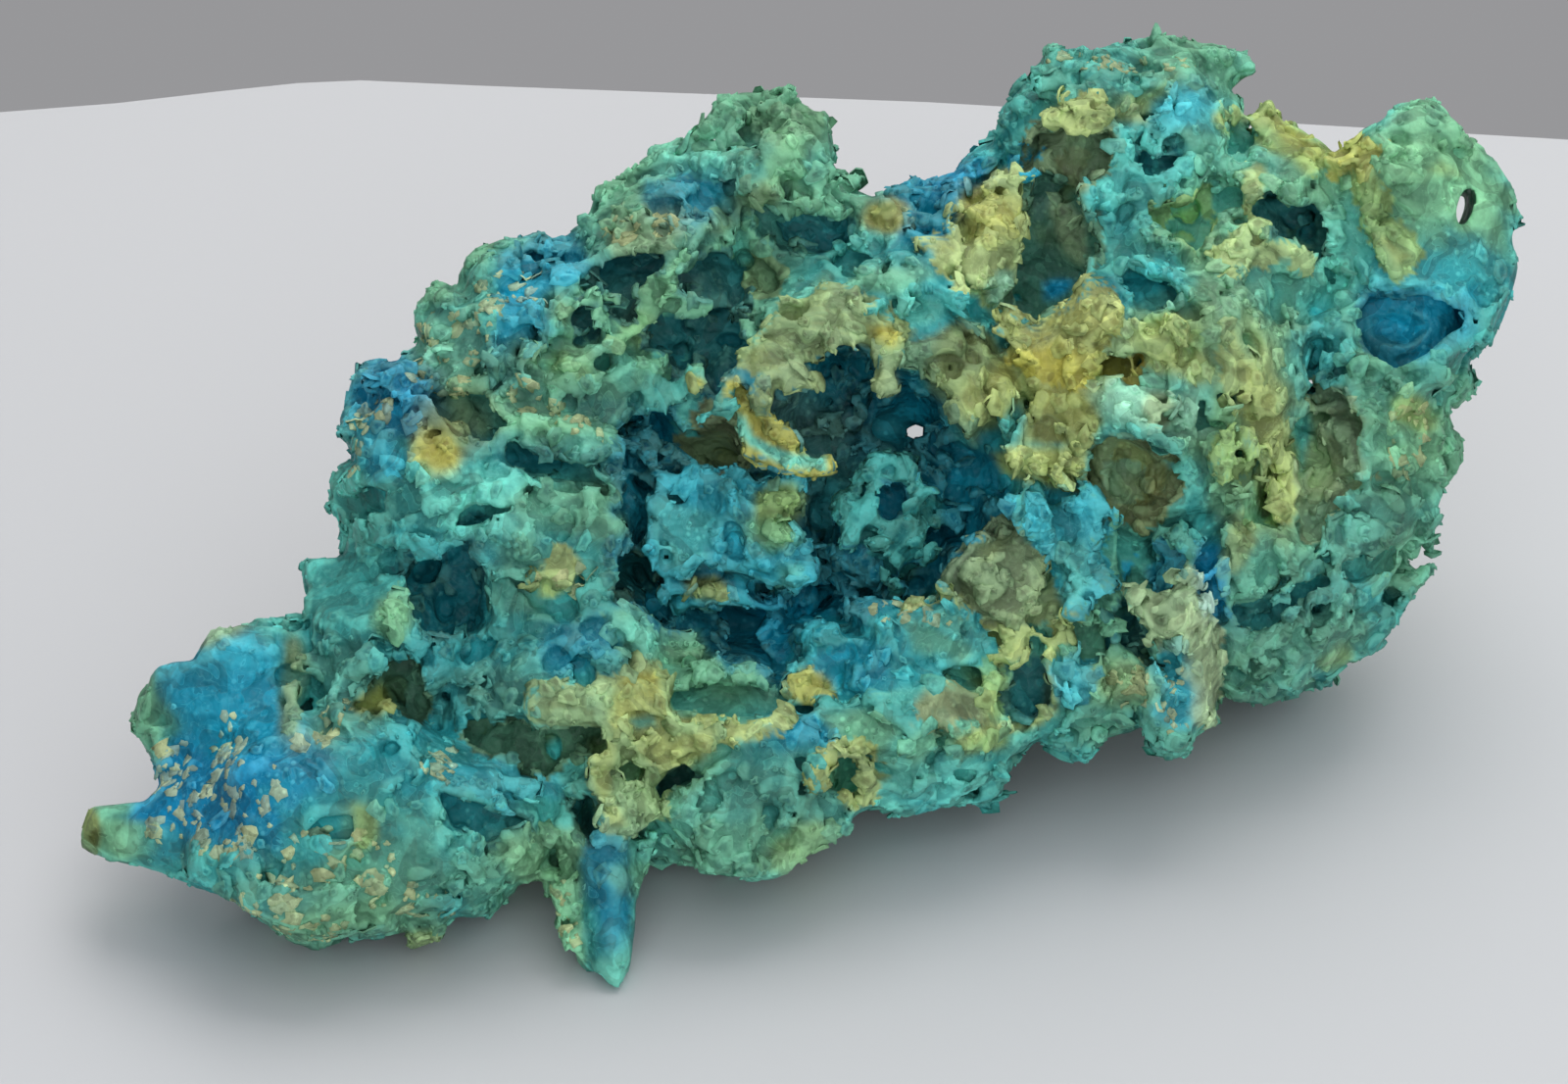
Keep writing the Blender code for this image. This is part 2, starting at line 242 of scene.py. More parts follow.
def insideOutline(outline, x, y):
    # mm inside a closed outline, negative outside it
    corners = np.array(outline, np.float32)
    nearest = np.full(np.broadcast(x, y).shape, 1e9, np.float32)
    inside = np.zeros(nearest.shape, bool)
    for (ax, ay), (bx, by) in zip(corners, np.roll(corners, -1, axis=0)):
        wx, wy = bx - ax, by - ay
        t = np.clip(((x - ax) * wx + (y - ay) * wy) / (wx * wx + wy * wy + 1e-9), 0, 1)
        nearest = np.minimum(nearest, (x - ax - t * wx) ** 2 + (y - ay - t * wy) ** 2)
        if ay != by:
            inside ^= ((ay > y) != (by > y)) & (x < ax + wx * (y - ay) / wy)
    return np.where(inside, 1, -1) * np.sqrt(nearest)


def outlineBlock(outline, level, rise, pad):
    # an outline drawn at its own depth, with the block of cells around it
    corners = np.array(outline, np.float32)
    depth = flatDepth(level, corners[:, 0], corners[:, 1]) + rise
    corners = corners * (1 - depth / face["eye"])[:, None]
    least, most = corners.min(0), corners.max(0)
    middleOf, reach = (least + most) / 2, (most - least) / 2
    block = blockAround((*middleOf, 0), (*reach, 90), pad)
    return block, insideOutline(corners, ticks[0][block[0], None], ticks[1][None, block[1]])


def depthSpan(nearest, farthest):
    # the layers of cells between two depths
    first = max(0, int((farthest - low[2]) / grain) - 3)
    last = min(cells[2], int((nearest - low[2]) / grain) + 4)
    return slice(first, last)


# How plates and holes meet the growth, in mm
edges = {
    "ragged": 1.5,  # how much of each form's own raggedness is used
    "plateRound": 0.7,
    "plateBlend": 0.4,
    "plateLine": (0.1, 0.45),  # where the pale line runs inside the edge, and its half width
    "holeRound": 0.8,
    "holeBlend": 0.3,
    "holeLine": (-0.3, 0.4),
    "holeLineDepths": (-1.5, 0.5),
    "flare": 0.25,  # how much a hole widens with depth, down to flareDepth
    "flareDepth": 3,
    "around": 0.7,  # how far past its surface a form gives its colour
    "cover": 0.3,  # how far under the older growth a plate still shows
    "holeColourFrom": 0.4,
}


def paleLine(edge, where):
    # 1 on the line beside an edge, fading to 0 on both sides
    middleOf, halfWidth = where
    return np.clip(1 - np.abs(edge - middleOf) / halfWidth, 0, 1)


def plate(name, outline, rise, thick, ragged, level):
    # a ragged plate whose face stands this far off a level
    block, flat = outlineBlock(outline, level, rise, 1.5)
    top = level[block[:2]] + rise
    block = (block[0], block[1], depthSpan(top.max(), top.min() - thick))
    below = top[:, :, None] - ticks[2][None, None, block[2]]
    edge = flat[:, :, None] + ragged * fray[block]
    form = softMin(edge, thick / 2 - np.abs(below - thick / 2), edges["plateRound"])
    taken = (form > -edges["around"]) & (form > mass[block] - edges["cover"])
    claim(name, block, taken, paleLine(edge, edges["plateLine"]) * taken)
    grow((block, form), edges["plateBlend"])


def hole(name, outline, deep, ragged, level, flare=edges["flare"], blend=edges["holeBlend"]):
    # an opening that widens a little below its rim
    block, flat = outlineBlock(outline, level, 0, 2.0)
    top = level[block[:2]]
    block = (block[0], block[1], depthSpan(top.max() + 4, top.min() - deep))
    below = top[:, :, None] - ticks[2][None, None, block[2]]
    edge = flat[:, :, None] + ragged * fray[block] + flare * np.clip(below, 0, edges["flareDepth"])
    form = softMin(edge, deep - below, edges["holeRound"])
    if name:
        least, most = edges["holeLineDepths"]
        line = paleLine(edge, edges["holeLine"]) * (below < most) * (below > least)
        claim(name, block, (form > -edges["around"]) & (below > edges["holeColourFrom"]), line)
    carve((block, form), blend)


# The body's forms, in mm on the face:
# along, up, out, three half sizes, and here and below a turn in degrees where there is one
masses = {
    "ear": (-46.6, -12.7, -1, 8.0, 6.3, 7, 20),
    "earTop": (-42.6, -9.6, -3, 4.5, 3.9, 6),
    "belly": (-37.2, -23.2, 3.5, 13, 10.4, 10, -8),
    "bellyHeel": (-27.5, -24.5, 2, 9, 7, 9),
    "shoulder": (-33.3, -8.5, -2, 7.4, 8.4, 10),
    "leftWall": (-30, 3, -4, 7.6, 8, 10),
    "leftBrow": (-28.8, 8.5, -6, 7.8, 7, 10, 10),
    "leftKnob": (-33.2, 12, -7, 3.2, 3.2, 7),
    "browKnob": (-24, 16.3, -8, 6.8, 7.4, 9, 30),
    "browCrest": (-17.5, 16.5, -9, 8, 8, 10, 20),
    "rise": (-10.5, 21.5, -11, 7.4, 8.6, 11, 40),
    "riseTop": (-9.5, 26.2, -11, 5.2, 6.4, 8, 30),
    "firstPeak": (-1, 29.2, -12, 5.7, 8.2, 8),
    "firstPeakHeel": (3.4, 25, -13, 5, 6, 8, -20),
    "saddle": (9, 21.3, -15, 7, 8.3, 10, 10),
    "saddleRise": (15, 24, -16, 5.5, 8.3, 10),
    "secondPeak": (24.2, 30.2, -17, 7.7, 10.3, 11, -10),
    "secondPeakRight": (32.6, 32, -19, 6.5, 9.4, 11),
    "dip": (41, 25.5, -19, 7.5, 9.0, 12, -15),
    "rightLobe": (53.4, 27, -19, 8.0, 9.2, 9, 10),
    "rightWall": (52, 18, -20, 8.2, 8, 12),
    "rightFlank": (47.8, 6, -20, 8.0, 9, 13),
    "rightHeel": (45.2, -0.8, -20, 8.4, 7.4, 12, 30),
    "rightKeel": (39.4, -4.2, -17, 8, 7.6, 12),
    "rightCore": (31, 12, -16, 13, 18, 15),
    "middleCore": (4, 5, -12, 21, 21, 16),
    "lowerMiddle": (9, -14, -7, 12, 8.8, 9, 8),
    "lowerLip": (-4.5, -18.5, -2, 11, 9.6, 9),
    "lowerLeft": (-19, -15, -2, 10, 12, 10),
    "lowerRight": (24, -9, -9, 8, 8.5, 8),
    "leftCore": (-22, 0, -5, 13, 14, 11),
    "back": (10, 6, -25, 17, 10, 8, -10),
    "backHeel": (16, -0.5, -28, 9.5, 7, 8, 20),
    "backFoot": (6, -4.2, -30.5, 8.5, 7.5, 9, -15),
    "backKnob": (-5, 0.5, -24, 7, 9, 8, 10),
    "backLobe": (33, 10, -29, 9.5, 8, 7, 30),
    "rightFoot": (38, -7, -25, 8, 8, 8),
    "behindTheEar": (-39, -13.6, -5, 3.5, 3.5, 4),
    "behindTheBrow": (-20.8, 22.8, -14, 3.5, 2.6, 4),
}

# start, end, then the radius at each
limbs = {
    "stem": ((-57.6, -23.7, 1), (-45, -22.8, 2.5), 2.0, 6.5),
    "spur": ((-16, -24, 4), (-13.7, -36.9, 6.3), 4.4, 1.2),
    "spurProng": ((-17.8, -27, 4), (-17.4, -35.4, 5), 2.4, 1.1),
    "column": ((33, -1, -3), (32.3, -16, -4.5), 3.2, 2.0),
}

# balls taken out of the open face, then balls that stand inside
greatHollow = {
    "left": (-5, -2, -1, 10, 9.5, 11.5),
    "right": (7.5, 3.5, -2, 11.5, 12.5, 14.5),
    "roof": (5, 11.5, -4, 5, 6, 10),
    "leftNook": (-12.5, 4, -2, 3, 6.5, 6),
    "leftPit": (-12.5, -3.5, -3, 2.8, 3, 8),
}

insideForms = {
    "blueTongue": (-5.5, 1, -7, 6.2, 6.3, 3.5),
    "blueTongueFoot": (-3, -4, -7, 5, 2.5, 2.5),
    "tealTongue": (9, 2.5, -10, 4, 5.6, 4, -15),
    "tanDome": (18.3, -3, -3, 4.3, 4.9, 2.4),
    "ridge": (9.5, -9, -4, 8.5, 3.2, 5, -5),
}

# along, up, half width, half height, depth, turn; sunk from the surface they open in
hollows = {
    "underTheRise": (-7, 17.2, 3.2, 2.2, 6, 10),
    "inTheRise": (-6.7, 21.8, 3, 2, 5),
    "leftOfTheRise": (-13, 22.3, 3, 1.6, 5),
    "brow": (-17, 18.7, 1.3, 1.2, 4),
    "firstPeak": (2.5, 26.2, 3, 1.4, 5),
    "slot": (22.3, 24.5, 2.3, 6, 9, -6),
    "nicheUnderTheCrest": (24, 31.8, 3.2, 2.3, 5),
    "blueBowl": (52.5, 17.8, 6, 4, 3),
    "bluePocket": (52.2, 17.8, 3.8, 2.3, 7, -5),
    "rightNiche": (45.7, 7.5, 2.8, 5.0, 7),
    "rightNicheFoot": (44.7, 1.5, 1.8, 3, 5),
    "middleNiche": (31, 20.8, 2.8, 2, 4, -15),
    "tanNiche": (28.7, 6.3, 3.6, 2.9, 6),
    "columnNiche": (30, -2, 1.8, 1.8, 5),
    "keel": (40, -2.7, 3, 2.2, 4, 10),
    "rimCup": (20.5, -12, 1.7, 2.5, 4),
    "plate": (14, -13, 3.2, 2.2, 2.5),
    "leftHollow": (-27.5, -4, 3.5, 4.3, 6),
    "oliveHole": (-32.5, -12, 2.5, 2, 6, 15),
    "slit": (-21, -16.6, 5, 1.9, 3.5, -12),
    "slitTail": (-16.3, -22.5, 0.9, 1.6, 4),
    "browUndercut": (-27, 11, 3, 2, 4, -10),
    "shadowUndercut": (-18.5, 5.2, 5.5, 1.7, 3, -12),
    "leftNick": (-35, 3, 2, 2, 3),
    "lipHole": (-9, -19.8, 1.4, 1.2, 4, 10),
    "ringCup": (5.3, -19.3, 2, 1.8, 3.5),
}

# small deep holes, and windows that go right through
pits = {
    "besideTheColumn": (28.3, -7, 1.3, 1.2, 4),
    "peakUpper": (31.4, 31.2, 1.1, 0.8, 3, 20),
    "peakLower": (31.8, 27, 0.9, 1.2, 3),
    "peakRight": (34.6, 28, 0.8, 1.2, 3),
    "dipLeft": (41, 28, 1.5, 1.4, 4),
    "dipRight": (44, 25.4, 1.1, 0.9, 4, 40),
    "throughTheTongue": (8.7, 3.3, 1.0, 1.1, 4),
    "underTheBlueTongue": (-4, -3.4, 3, 1.3, 2.5),
}

windows = {
    "back": (11.2, 9.6, -26, 1.3, 0.9, 17, 15),
    "right": (57.6, 28.1, -19, 0.8, 1.9, 14, -20),
}

# The outlines below are (along, up) as they show from the front
silhouette = [
    (-58.3, -24), (-57.5, -21.8), (-53, -21.3), (-51.8, -20), (-52.3, -19), (-54.3, -15.5), (-53.5, -12.5),
    (-52, -10), (-49, -9.7), (-47.5, -7), (-45, -6), (-41, -6.2), (-40, -5.5), (-40, -1.5), (-37, -1),
    (-36.5, 1), (-37.8, 3), (-37, 6), (-35.5, 7), (-37, 9), (-36, 12), (-35.5, 14.5), (-32, 15),
    (-30.5, 16.5), (-30.5, 19.5), (-29, 21.5), (-27, 21), (-25.5, 24), (-21.5, 25.3), (-18, 25.5),
    (-16, 27.5), (-15.5, 29.5), (-13, 31), (-11, 33), (-8, 34), (-6.5, 35.5), (-6, 36.5), (-3, 37.2),
    (0.5, 37.7), (1.5, 36.5), (4, 36), (4.5, 33.5), (4.3, 31), (7, 30.2), (5.5, 29), (7.5, 28.5), (9, 29.5),
    (12, 30.5), (14.5, 31), (16, 32.5), (17, 33), (18, 35.5), (19.5, 38), (21.5, 39.5), (22, 41), (26, 41),
    (31, 41.8), (36, 41.5), (38.5, 40.5), (39.3, 39.3), (37.8, 37.5), (38.5, 35.5), (40.3, 36.8), (41.5, 35),
    (44, 33.5), (45.5, 32), (48, 33.2), (50, 35), (50.5, 36), (53.5, 36.7), (55.5, 35), (57.5, 33),
    (59.5, 31), (61, 28), (61.5, 27), (60.5, 25), (60.8, 23), (60, 20), (58.5, 16.5), (57, 15), (57, 12),
    (55.5, 11), (55.2, 10), (56.2, 8), (55.5, 5.5), (54.5, 4), (54, 1), (54, -3), (52.5, -4), (51, -6),
    (50, -8), (48, -9.5), (46, -10.5), (45.5, -12), (43.5, -12.3), (41.5, -12.8), (39.8, -13.5), (37, -12.8),
    (36, -12.5), (36, -15), (34.5, -15.5), (33.3, -17.5), (31.5, -17.8), (30, -16.5), (30, -15.3), (27, -16),
    (26, -17), (25.5, -18), (22.5, -17.8), (21, -16.5), (19, -18), (18.5, -19.5), (18.5, -21), (16.5, -22),
    (12.5, -22), (10, -23), (7.5, -22), (6, -22.5), (5, -24), (2, -26), (0.5, -27.5), (-3, -28), (-5, -27.5),
    (-8, -27.8), (-9, -26.8), (-11.3, -28.5), (-12, -30), (-12.3, -34), (-12.8, -37.4), (-14.5, -37.2),
    (-15.2, -36), (-16.5, -36.5), (-18, -35), (-19, -32), (-19.5, -29.5), (-20, -28), (-22, -28.5),
    (-24.5, -31), (-27, -31), (-28.7, -32), (-29, -33.5), (-31, -33.7), (-31.5, -32.5), (-35, -33),
    (-38, -34), (-41, -33), (-44, -31), (-47, -29), (-51, -27.7), (-56, -26.5), (-58.3, -25.3),
]

hollowEdge = [
    (-14.5, 7), (-14.7, 5.9), (-14.3, 4.3), (-13.7, 3.1), (-14.6, 2.8), (-14.6, 2.1), (-13.2, 1.9),
    (-12.9, 0.9), (-13.9, 0), (-15, -0.5), (-14.8, -2.5), (-14.4, -4.1), (-14.5, -5.5), (-12.2, -6.6),
    (-10.8, -7.5), (-9.7, -8.2), (-7.2, -7.7), (-6.6, -9.1), (-5.6, -10.1), (-4.4, -11.2), (-3.8, -10.5),
    (-2.5, -10), (-2.2, -10.6), (-1.3, -11.7), (0.1, -11.7), (0.3, -10), (3.1, -8.4), (5.3, -8.1),
    (6.8, -7.2), (8.4, -5.8), (10.2, -5.6), (11.5, -5), (13.4, -2.8), (14.6, -1.3), (17.4, 0.6), (19, 1.8),
    (19.6, 2.8), (18.6, 4.3), (17.1, 6.2), (17.1, 7.4), (15.5, 8.1), (14, 8.7), (13.5, 9.9), (13.5, 11.5),
    (11.5, 12.7), (11.2, 14.3), (10.2, 14.9), (9, 15), (7.3, 16.5), (4.9, 17.3), (3.2, 17.1), (1.8, 16.1),
    (-2, 14), (-3.5, 14.5), (-5.5, 13.5), (-8, 12), (-11, 11), (-13.5, 10),
]

# how far proud, thickness, ragged, outline; measured from the smooth front of the body
plates = {
    "greenNodule": (1.6, 4.5, 0.5, [
        (-24.4, 10), (-23.6, 9), (-22, 8.4), (-20, 7.9), (-17.3, 6.9), (-16, 7.5), (-14.6, 9.2), (-13, 10.3),
        (-11.5, 11), (-9.5, 13), (-9, 16), (-12, 16), (-14, 17), (-18, 17.5), (-21, 16), (-23.5, 13.5),
        (-24.8, 12)]),
    "tealFlap": (0.8, 1.5, 0.3, [
        (-10.8, 16.5), (-8.8, 16.5), (-8.4, 14.8), (-6.4, 13.7), (-5, 12.7), (-4.3, 11), (-6, 10.3),
        (-6.9, 9.3), (-7.6, 8.1), (-8.3, 7.2), (-8.8, 7.9), (-10, 9.5), (-10.5, 10.7), (-11.5, 11.2),
        (-13.5, 12.5)]),
    "ochreSpur": (-0.9, 1.7, 0.25, [
        (-5.2, 13.2), (-3.8, 13.4), (-3.1, 11.7), (-2.3, 10.6), (-0.9, 9.6), (1, 8.3), (1.5, 7.1),
        (3.5, 7.0), (3.6, 6.1), (0.4, 6.2), (-1.6, 6.9), (-3, 8.0), (-3.8, 9.8), (-4.7, 10.8), (-6, 11.5)]),
    "creamArch": (1.3, 2.0, 0.4, [
        (-3.7, 16.1), (-2.3, 16.5), (-0.9, 17.7), (0.4, 19.2), (2.2, 19.9), (4.2, 21.4), (5.9, 20.9),
        (8, 20.2), (8, 18.9), (10, 17.7), (10.7, 17.8), (9.6, 16.5), (9, 15.1), (9.6, 13.4), (9.5, 12.3),
        (8.5, 12.6), (8.0, 13.7), (8.5, 15.1), (7.3, 16.3), (4.9, 17.1), (3.2, 16.9), (3.5, 16.1),
        (1.8, 16.1), (1.1, 15.4), (2.2, 14.1), (1.8, 13.4), (0.1, 13.2), (-1.9, 11.5), (-2.3, 12.2),
        (-1.6, 13.4), (-2.1, 14.2), (-3.5, 14.9)]),
    "blueTongue": (-4.0, 7, 0.35, [
        (-11.1, 3.7), (-11.4, 2.5), (-11.2, 0.9), (-10.8, -0.3), (-10.6, -2.5), (-10.1, -3.5), (-10.3, -4.7),
        (-9.4, -5.6), (-9.4, -7), (-8.3, -5.9), (-7.5, -5), (-5.3, -5), (-2.8, -5), (-0.5, -3.8), (0, -4.2),
        (0.6, -4.1), (0.9, -3.3), (2.1, -3.1), (2.1, -1.9), (1.1, -1), (1.2, 0.3), (0.7, 1.5), (1.1, 2.6),
        (2, 2.9), (1.8, 4.3), (0.9, 4.9), (-1.3, 4.6), (-2.2, 3.7), (-3.8, 5.3), (-5, 5.7), (-7.8, 5.6),
        (-10, 4.6)]),
    "tealTongue": (-6.5, 6, 0.4, [
        (4.6, 3.7), (5.9, 4), (7.1, 5.6), (7.9, 6.7), (9, 6.8), (10.2, 6.7), (10.2, 5.3), (11.2, 4.3),
        (12.4, 3.7), (11.8, 3.1), (12.6, 1.5), (12.1, 0), (11.8, -1), (11.8, -2.2), (10.2, -2.5),
        (9.9, -3.5), (9.3, -3.5), (8.7, -2.5), (8.4, -1.3), (7.6, -0.7), (7.1, 0), (7.1, 0.6), (5.9, 0.3),
        (4.9, 0.6), (5.1, 1.8), (4.9, 3.4)]),
    "tanDome": (-2.2, 6, 0.25, [
        (13.4, -2.8), (14, -1.9), (15.2, -0.3), (17.4, 0.3), (18, 1.5), (19.3, 1.8), (20, 0.3), (21.4, 0),
        (22.4, -1.6), (22.4, -2.8), (23.2, -5), (22.5, -6.4), (20.8, -7.5), (19, -7.3), (17.1, -7.0),
        (15.8, -6.4), (14.3, -5.3), (13.4, -3.8)]),
    "domeNet": (0.4, 2.0, 0.5, [
        (9.6, -4.1), (10.5, -5), (12.2, -4.9), (13.2, -4), (13.8, -4.4), (14.9, -6.3), (17.1, -7.2),
        (20.8, -7.6), (22.9, -6.4), (23.6, -5), (24.3, -6), (24.0, -7.2), (22.8, -8.8), (20.5, -9.2),
        (19, -10), (17.2, -9.3), (15.3, -8), (12.5, -6.6), (9.5, -6)]),
    "lipCrest": (1.2, 2.4, 0.4, [
        (-14.7, -6.3), (-13.4, -5.6), (-11.9, -6.6), (-10.8, -7.5), (-10, -8.1), (-8.1, -8.4), (-7.2, -7.8),
        (-6.6, -9.1), (-7.2, -9.7), (-9.7, -10), (-10.9, -10), (-12.5, -9.4), (-13.7, -9.7), (-13.7, -8.1),
        (-14.7, -7.5)]),
    "fringe": (2.0, 2.0, 0.5, [
        (-20.7, -12.5), (-19.6, -12.6), (-19, -12.2), (-16.1, -12.2), (-15.3, -11.7), (-13.7, -11.5),
        (-12.8, -10.9), (-11.9, -10), (-10.6, -10.5), (-10.3, -11.9), (-10, -12.5), (-11.2, -12.8),
        (-12, -14), (-13, -15.5), (-15.1, -15), (-19, -15.1), (-20.3, -15), (-20.7, -14)]),
    "yellowLip": (2.2, 4, 0.4, [
        (-15.5, -13), (-12.1, -11.9), (-10.3, -12.8), (-9.5, -15), (-5.4, -15.4), (-5.8, -16.9), (-8, -18.4),
        (-10.3, -20.6), (-9.9, -22.9), (-12.1, -24.3), (-14.7, -23.2), (-15.9, -20.6), (-16, -18.4),
        (-15.1, -16.9)]),
    "creamCrest": (1.3, 1.8, 0.4, [
        (-10, -14.8), (-7.2, -15), (-5.3, -15.3), (-1, -15), (0.6, -14.3), (0.4, -15.4), (-2, -16.2),
        (-5.5, -16.4), (-9.5, -16.2)]),
    "goldBump": (0.9, 3, 0.6, [
        (0.3, -11.2), (1.8, -10.1), (3.7, -10.6), (4.6, -11.9), (3.4, -12.5), (3.1, -13.4), (1.5, -13.4),
        (0.6, -12.5)]),
    "ridge": (0.8, 4, 0.35, [
        (0.5, -10), (3.5, -9), (6.8, -7.4), (8.4, -6.2), (10.2, -5.8), (13, -5.3), (15.5, -6.8), (17, -8.5),
        (16, -10), (13.5, -11.5), (10, -12), (8, -13), (4.8, -12.8), (4.4, -11)]),
    "tanPlate": (1.0, 2.0, 0.4, [
        (11.8, -12.2), (14, -11.5), (15.8, -12.5), (16.8, -13.4), (16.8, -15), (13, -15.6), (10.7, -15),
        (10.9, -13.4)]),
    "lowerShelf": (1.6, 3.0, 0.4, [
        (2.5, -13.8), (5, -13.3), (9.5, -12.6), (10.5, -15.5), (13.5, -16), (17, -15.5), (18.5, -16.5),
        (15, -17.5), (12, -17.5), (12.8, -19.6), (10, -20.5), (8, -19), (4, -16), (1, -16)]),
    "yellowRing": (2.4, 2.6, 0.4, [
        (4.2, -17.2), (5.8, -16.6), (7.5, -17), (8.3, -19), (7.2, -20.3), (6.6, -21.5), (5.2, -22),
        (4.6, -20.5), (2.8, -20.2), (2.6, -18.6)]),
    "bluePlate": (1.4, 1.6, 0.3, [
        (22.5, -10.7), (22.8, -10.1), (24.8, -9.3), (26, -9.8), (25.8, -12.1), (24.8, -13.2), (23.6, -13.1),
        (22.8, -11.7)]),
    "tealStrip": (1.6, 3, 0.4, [
        (19.2, 3.5), (20.2, 4.8), (22.5, 4.2), (24.8, 4.5), (26.8, 3.8), (27.1, 1.9), (26.1, 0.5),
        (24.8, 0.5), (25.1, -0.5), (26.8, -2.1), (26.8, -3.4), (26.1, -4.1), (24.8, -4.8), (24.1, -5.8),
        (23.5, -4.8), (22.5, -2.5), (21.8, -0.8), (20.2, 0.9), (19.5, 2.2)]),
    "hangingMass": (3.0, 5, 0.55, [
        (17.2, 7.5), (18.7, 8.3), (19.8, 10.5), (20.6, 11.2), (20.9, 13.1), (24.3, 12.7), (25.4, 11.6),
        (26.5, 9.8), (25.8, 8.3), (25, 7.1), (25, 5.6), (23.6, 4.9), (22.1, 4.5), (19.8, 5.3), (18, 6),
        (17, 6.8)]),
    "goldWedge": (2.6, 4, 0.6, [
        (20.9, 17.2), (21.7, 18.7), (23.6, 19.5), (25.4, 21.3), (26.9, 20.6), (27.7, 19.1), (27.3, 17.2),
        (26.5, 15), (25.8, 13.5), (24.3, 12.7), (21.3, 13.5), (19.8, 14.6), (18.7, 15.4), (18.7, 16.5),
        (18, 17.6), (17.2, 19.1), (19.1, 19.1), (19.8, 18.3)]),
    "yellowSlab": (1.7, 4, 0.5, [
        (14.2, 26.6), (15, 28.4), (16.5, 29.5), (18, 31), (19.4, 31.2), (20.6, 30.3), (20.8, 28.4),
        (20.4, 26.9), (20.2, 25.4), (19.6, 23.9), (19.3, 22.4), (19.1, 21), (18, 19.5), (16.8, 19.5),
        (16.1, 20.6), (14.6, 21), (14.2, 22.4), (12.7, 23.6), (11.6, 24.9), (13.8, 24.9)]),
    "oliveWall": (0.3, 3, 0.5, [
        (11.2, 17.1), (14.6, 18.6), (17.7, 17.1), (18, 15.5), (20.2, 14.3), (20.2, 12.7), (18.6, 11.5),
        (17.4, 9.9), (16.2, 9.3), (15.2, 8.1), (14.3, 9.3), (13.5, 10.2), (13.4, 12.1), (11.5, 13),
        (11.2, 14.3), (10.2, 14.9), (9.9, 15.8)]),
    "creamTab": (2.2, 2.0, 0.4, [
        (21.3, 35), (21.7, 35.9), (23.6, 36.1), (25.2, 36.6), (26.5, 36.3), (26.9, 35), (25.8, 34.2),
        (24.3, 33.7), (22.8, 33.7), (21.7, 34.2)]),
    "lightPlate": (1.4, 1.6, 0.35, [
        (4.9, 22.6), (6.6, 23.3), (8.6, 23.3), (11.7, 23.1), (12.1, 21.6), (10.4, 20.8), (8, 20.9),
        (5.9, 21.3)]),
    "lowPlate": (1.7, 1.4, 0.3, [
        (8, 20.2), (10, 21), (13, 20.6), (14.5, 19.8), (13.4, 18.7), (11.5, 18), (9, 18.2), (8, 19.2)]),
    "crestFlap": (1.2, 2.0, 0.4, [
        (35.9, 34.8), (36.3, 35.7), (38.5, 35.5), (40, 36.4), (41.3, 35.5), (41.9, 34.6), (43.7, 33.4),
        (45.2, 32.6), (46.3, 32.0), (46, 31), (44.1, 30.5), (42.2, 31.8), (40.4, 32.5), (38.5, 33.7),
        (36.6, 34)]),
    "goldDome": (1.4, 3.5, 0.3, [
        (45.4, 32.3), (46.7, 32.6), (47.8, 33.2), (49.3, 32.5), (49.3, 31.4), (47.8, 30.5), (45.6, 30.7)]),
    "yellowRun": (1.0, 2.2, 0.5, [
        (46.7, 30.5), (49.3, 30.3), (50.1, 28.4), (49.7, 26.9), (52.3, 25.4), (52.7, 23.9), (51.6, 22.8),
        (50.8, 22.4), (50.1, 23.6), (49, 24.7), (48.2, 26.6), (47.8, 28.4)]),
    "lobeLeafTop": (1.6, 1.6, 0.3, [
        (50.1, 31.4), (52, 32.5), (53.8, 33.3), (55.7, 31.8), (56.4, 30.3), (53.4, 30.2), (50.4, 30.3)]),
    "lobeLeaf": (1.0, 1.5, 0.3, [
        (50.8, 28.4), (53.1, 29.9), (56.8, 29.5), (57.2, 27.7), (54.9, 26.2), (52, 26.9)]),
    "bandLump": (1.5, 3, 0.5, [
        (35.8, 23.5), (37, 25), (38.5, 25.9), (39.8, 25.2), (38.8, 23.8), (38, 22.7), (36.3, 22.5)]),
    "band": (0.9, 2.2, 0.4, [
        (37.7, 30.7), (39.5, 31.3), (40.3, 30), (39.6, 28), (40.2, 26.5), (40.3, 24.9), (42.8, 24.6),
        (44.2, 23.7), (43.9, 22.3), (42.5, 22.9), (40, 23.3), (38.2, 24), (37.8, 26.8), (38.3, 28.5)]),
    "mintLump": (1.8, 3, 0.45, [
        (26.2, 13.5), (29.2, 13.3), (30.7, 12.7), (32.5, 11.6), (33.3, 9.8), (32.2, 8), (30.3, 8.7),
        (29.5, 9.8), (27.3, 9.8), (25, 11.3)]),
    "yellowKnobs": (1.5, 3, 0.5, [
        (27.5, 18), (30.5, 17.6), (32.5, 18.2), (33, 16.5), (32.8, 15), (31, 14.2), (29.5, 15),
        (27.5, 15.8)]),
    "wallRidge": (0.9, 2.4, 0.4, [
        (36.4, 18.5), (37.4, 17.8), (38.5, 15), (40.5, 12.5), (42, 9.5), (42.9, 6), (42.5, 2.5), (40.5, 1),
        (39.8, 3), (40.3, 6.5), (39, 9.5), (37.2, 12), (36.6, 14.5)]),
    "ringWall": (1.7, 2.5, 0.35, [
        (36.6, 8.8), (38, 9), (39.3, 8), (39.4, 6.3), (38, 5.4), (36.5, 5.8), (36, 7.2)]),
    "keelLedge": (2.0, 3.5, 0.5, [
        (36.1, 0.5), (37, 1.6), (40, 1.5), (41.4, 1.2), (43.1, 0.2), (44, -0.5), (43.9, -1.5), (43, -2.8),
        (41.7, -3.1), (40.1, -4.8), (38, -5.1), (36.8, -4.5), (36.4, -2)]),
    "rightLedge": (1.6, 2.2, 0.4, [
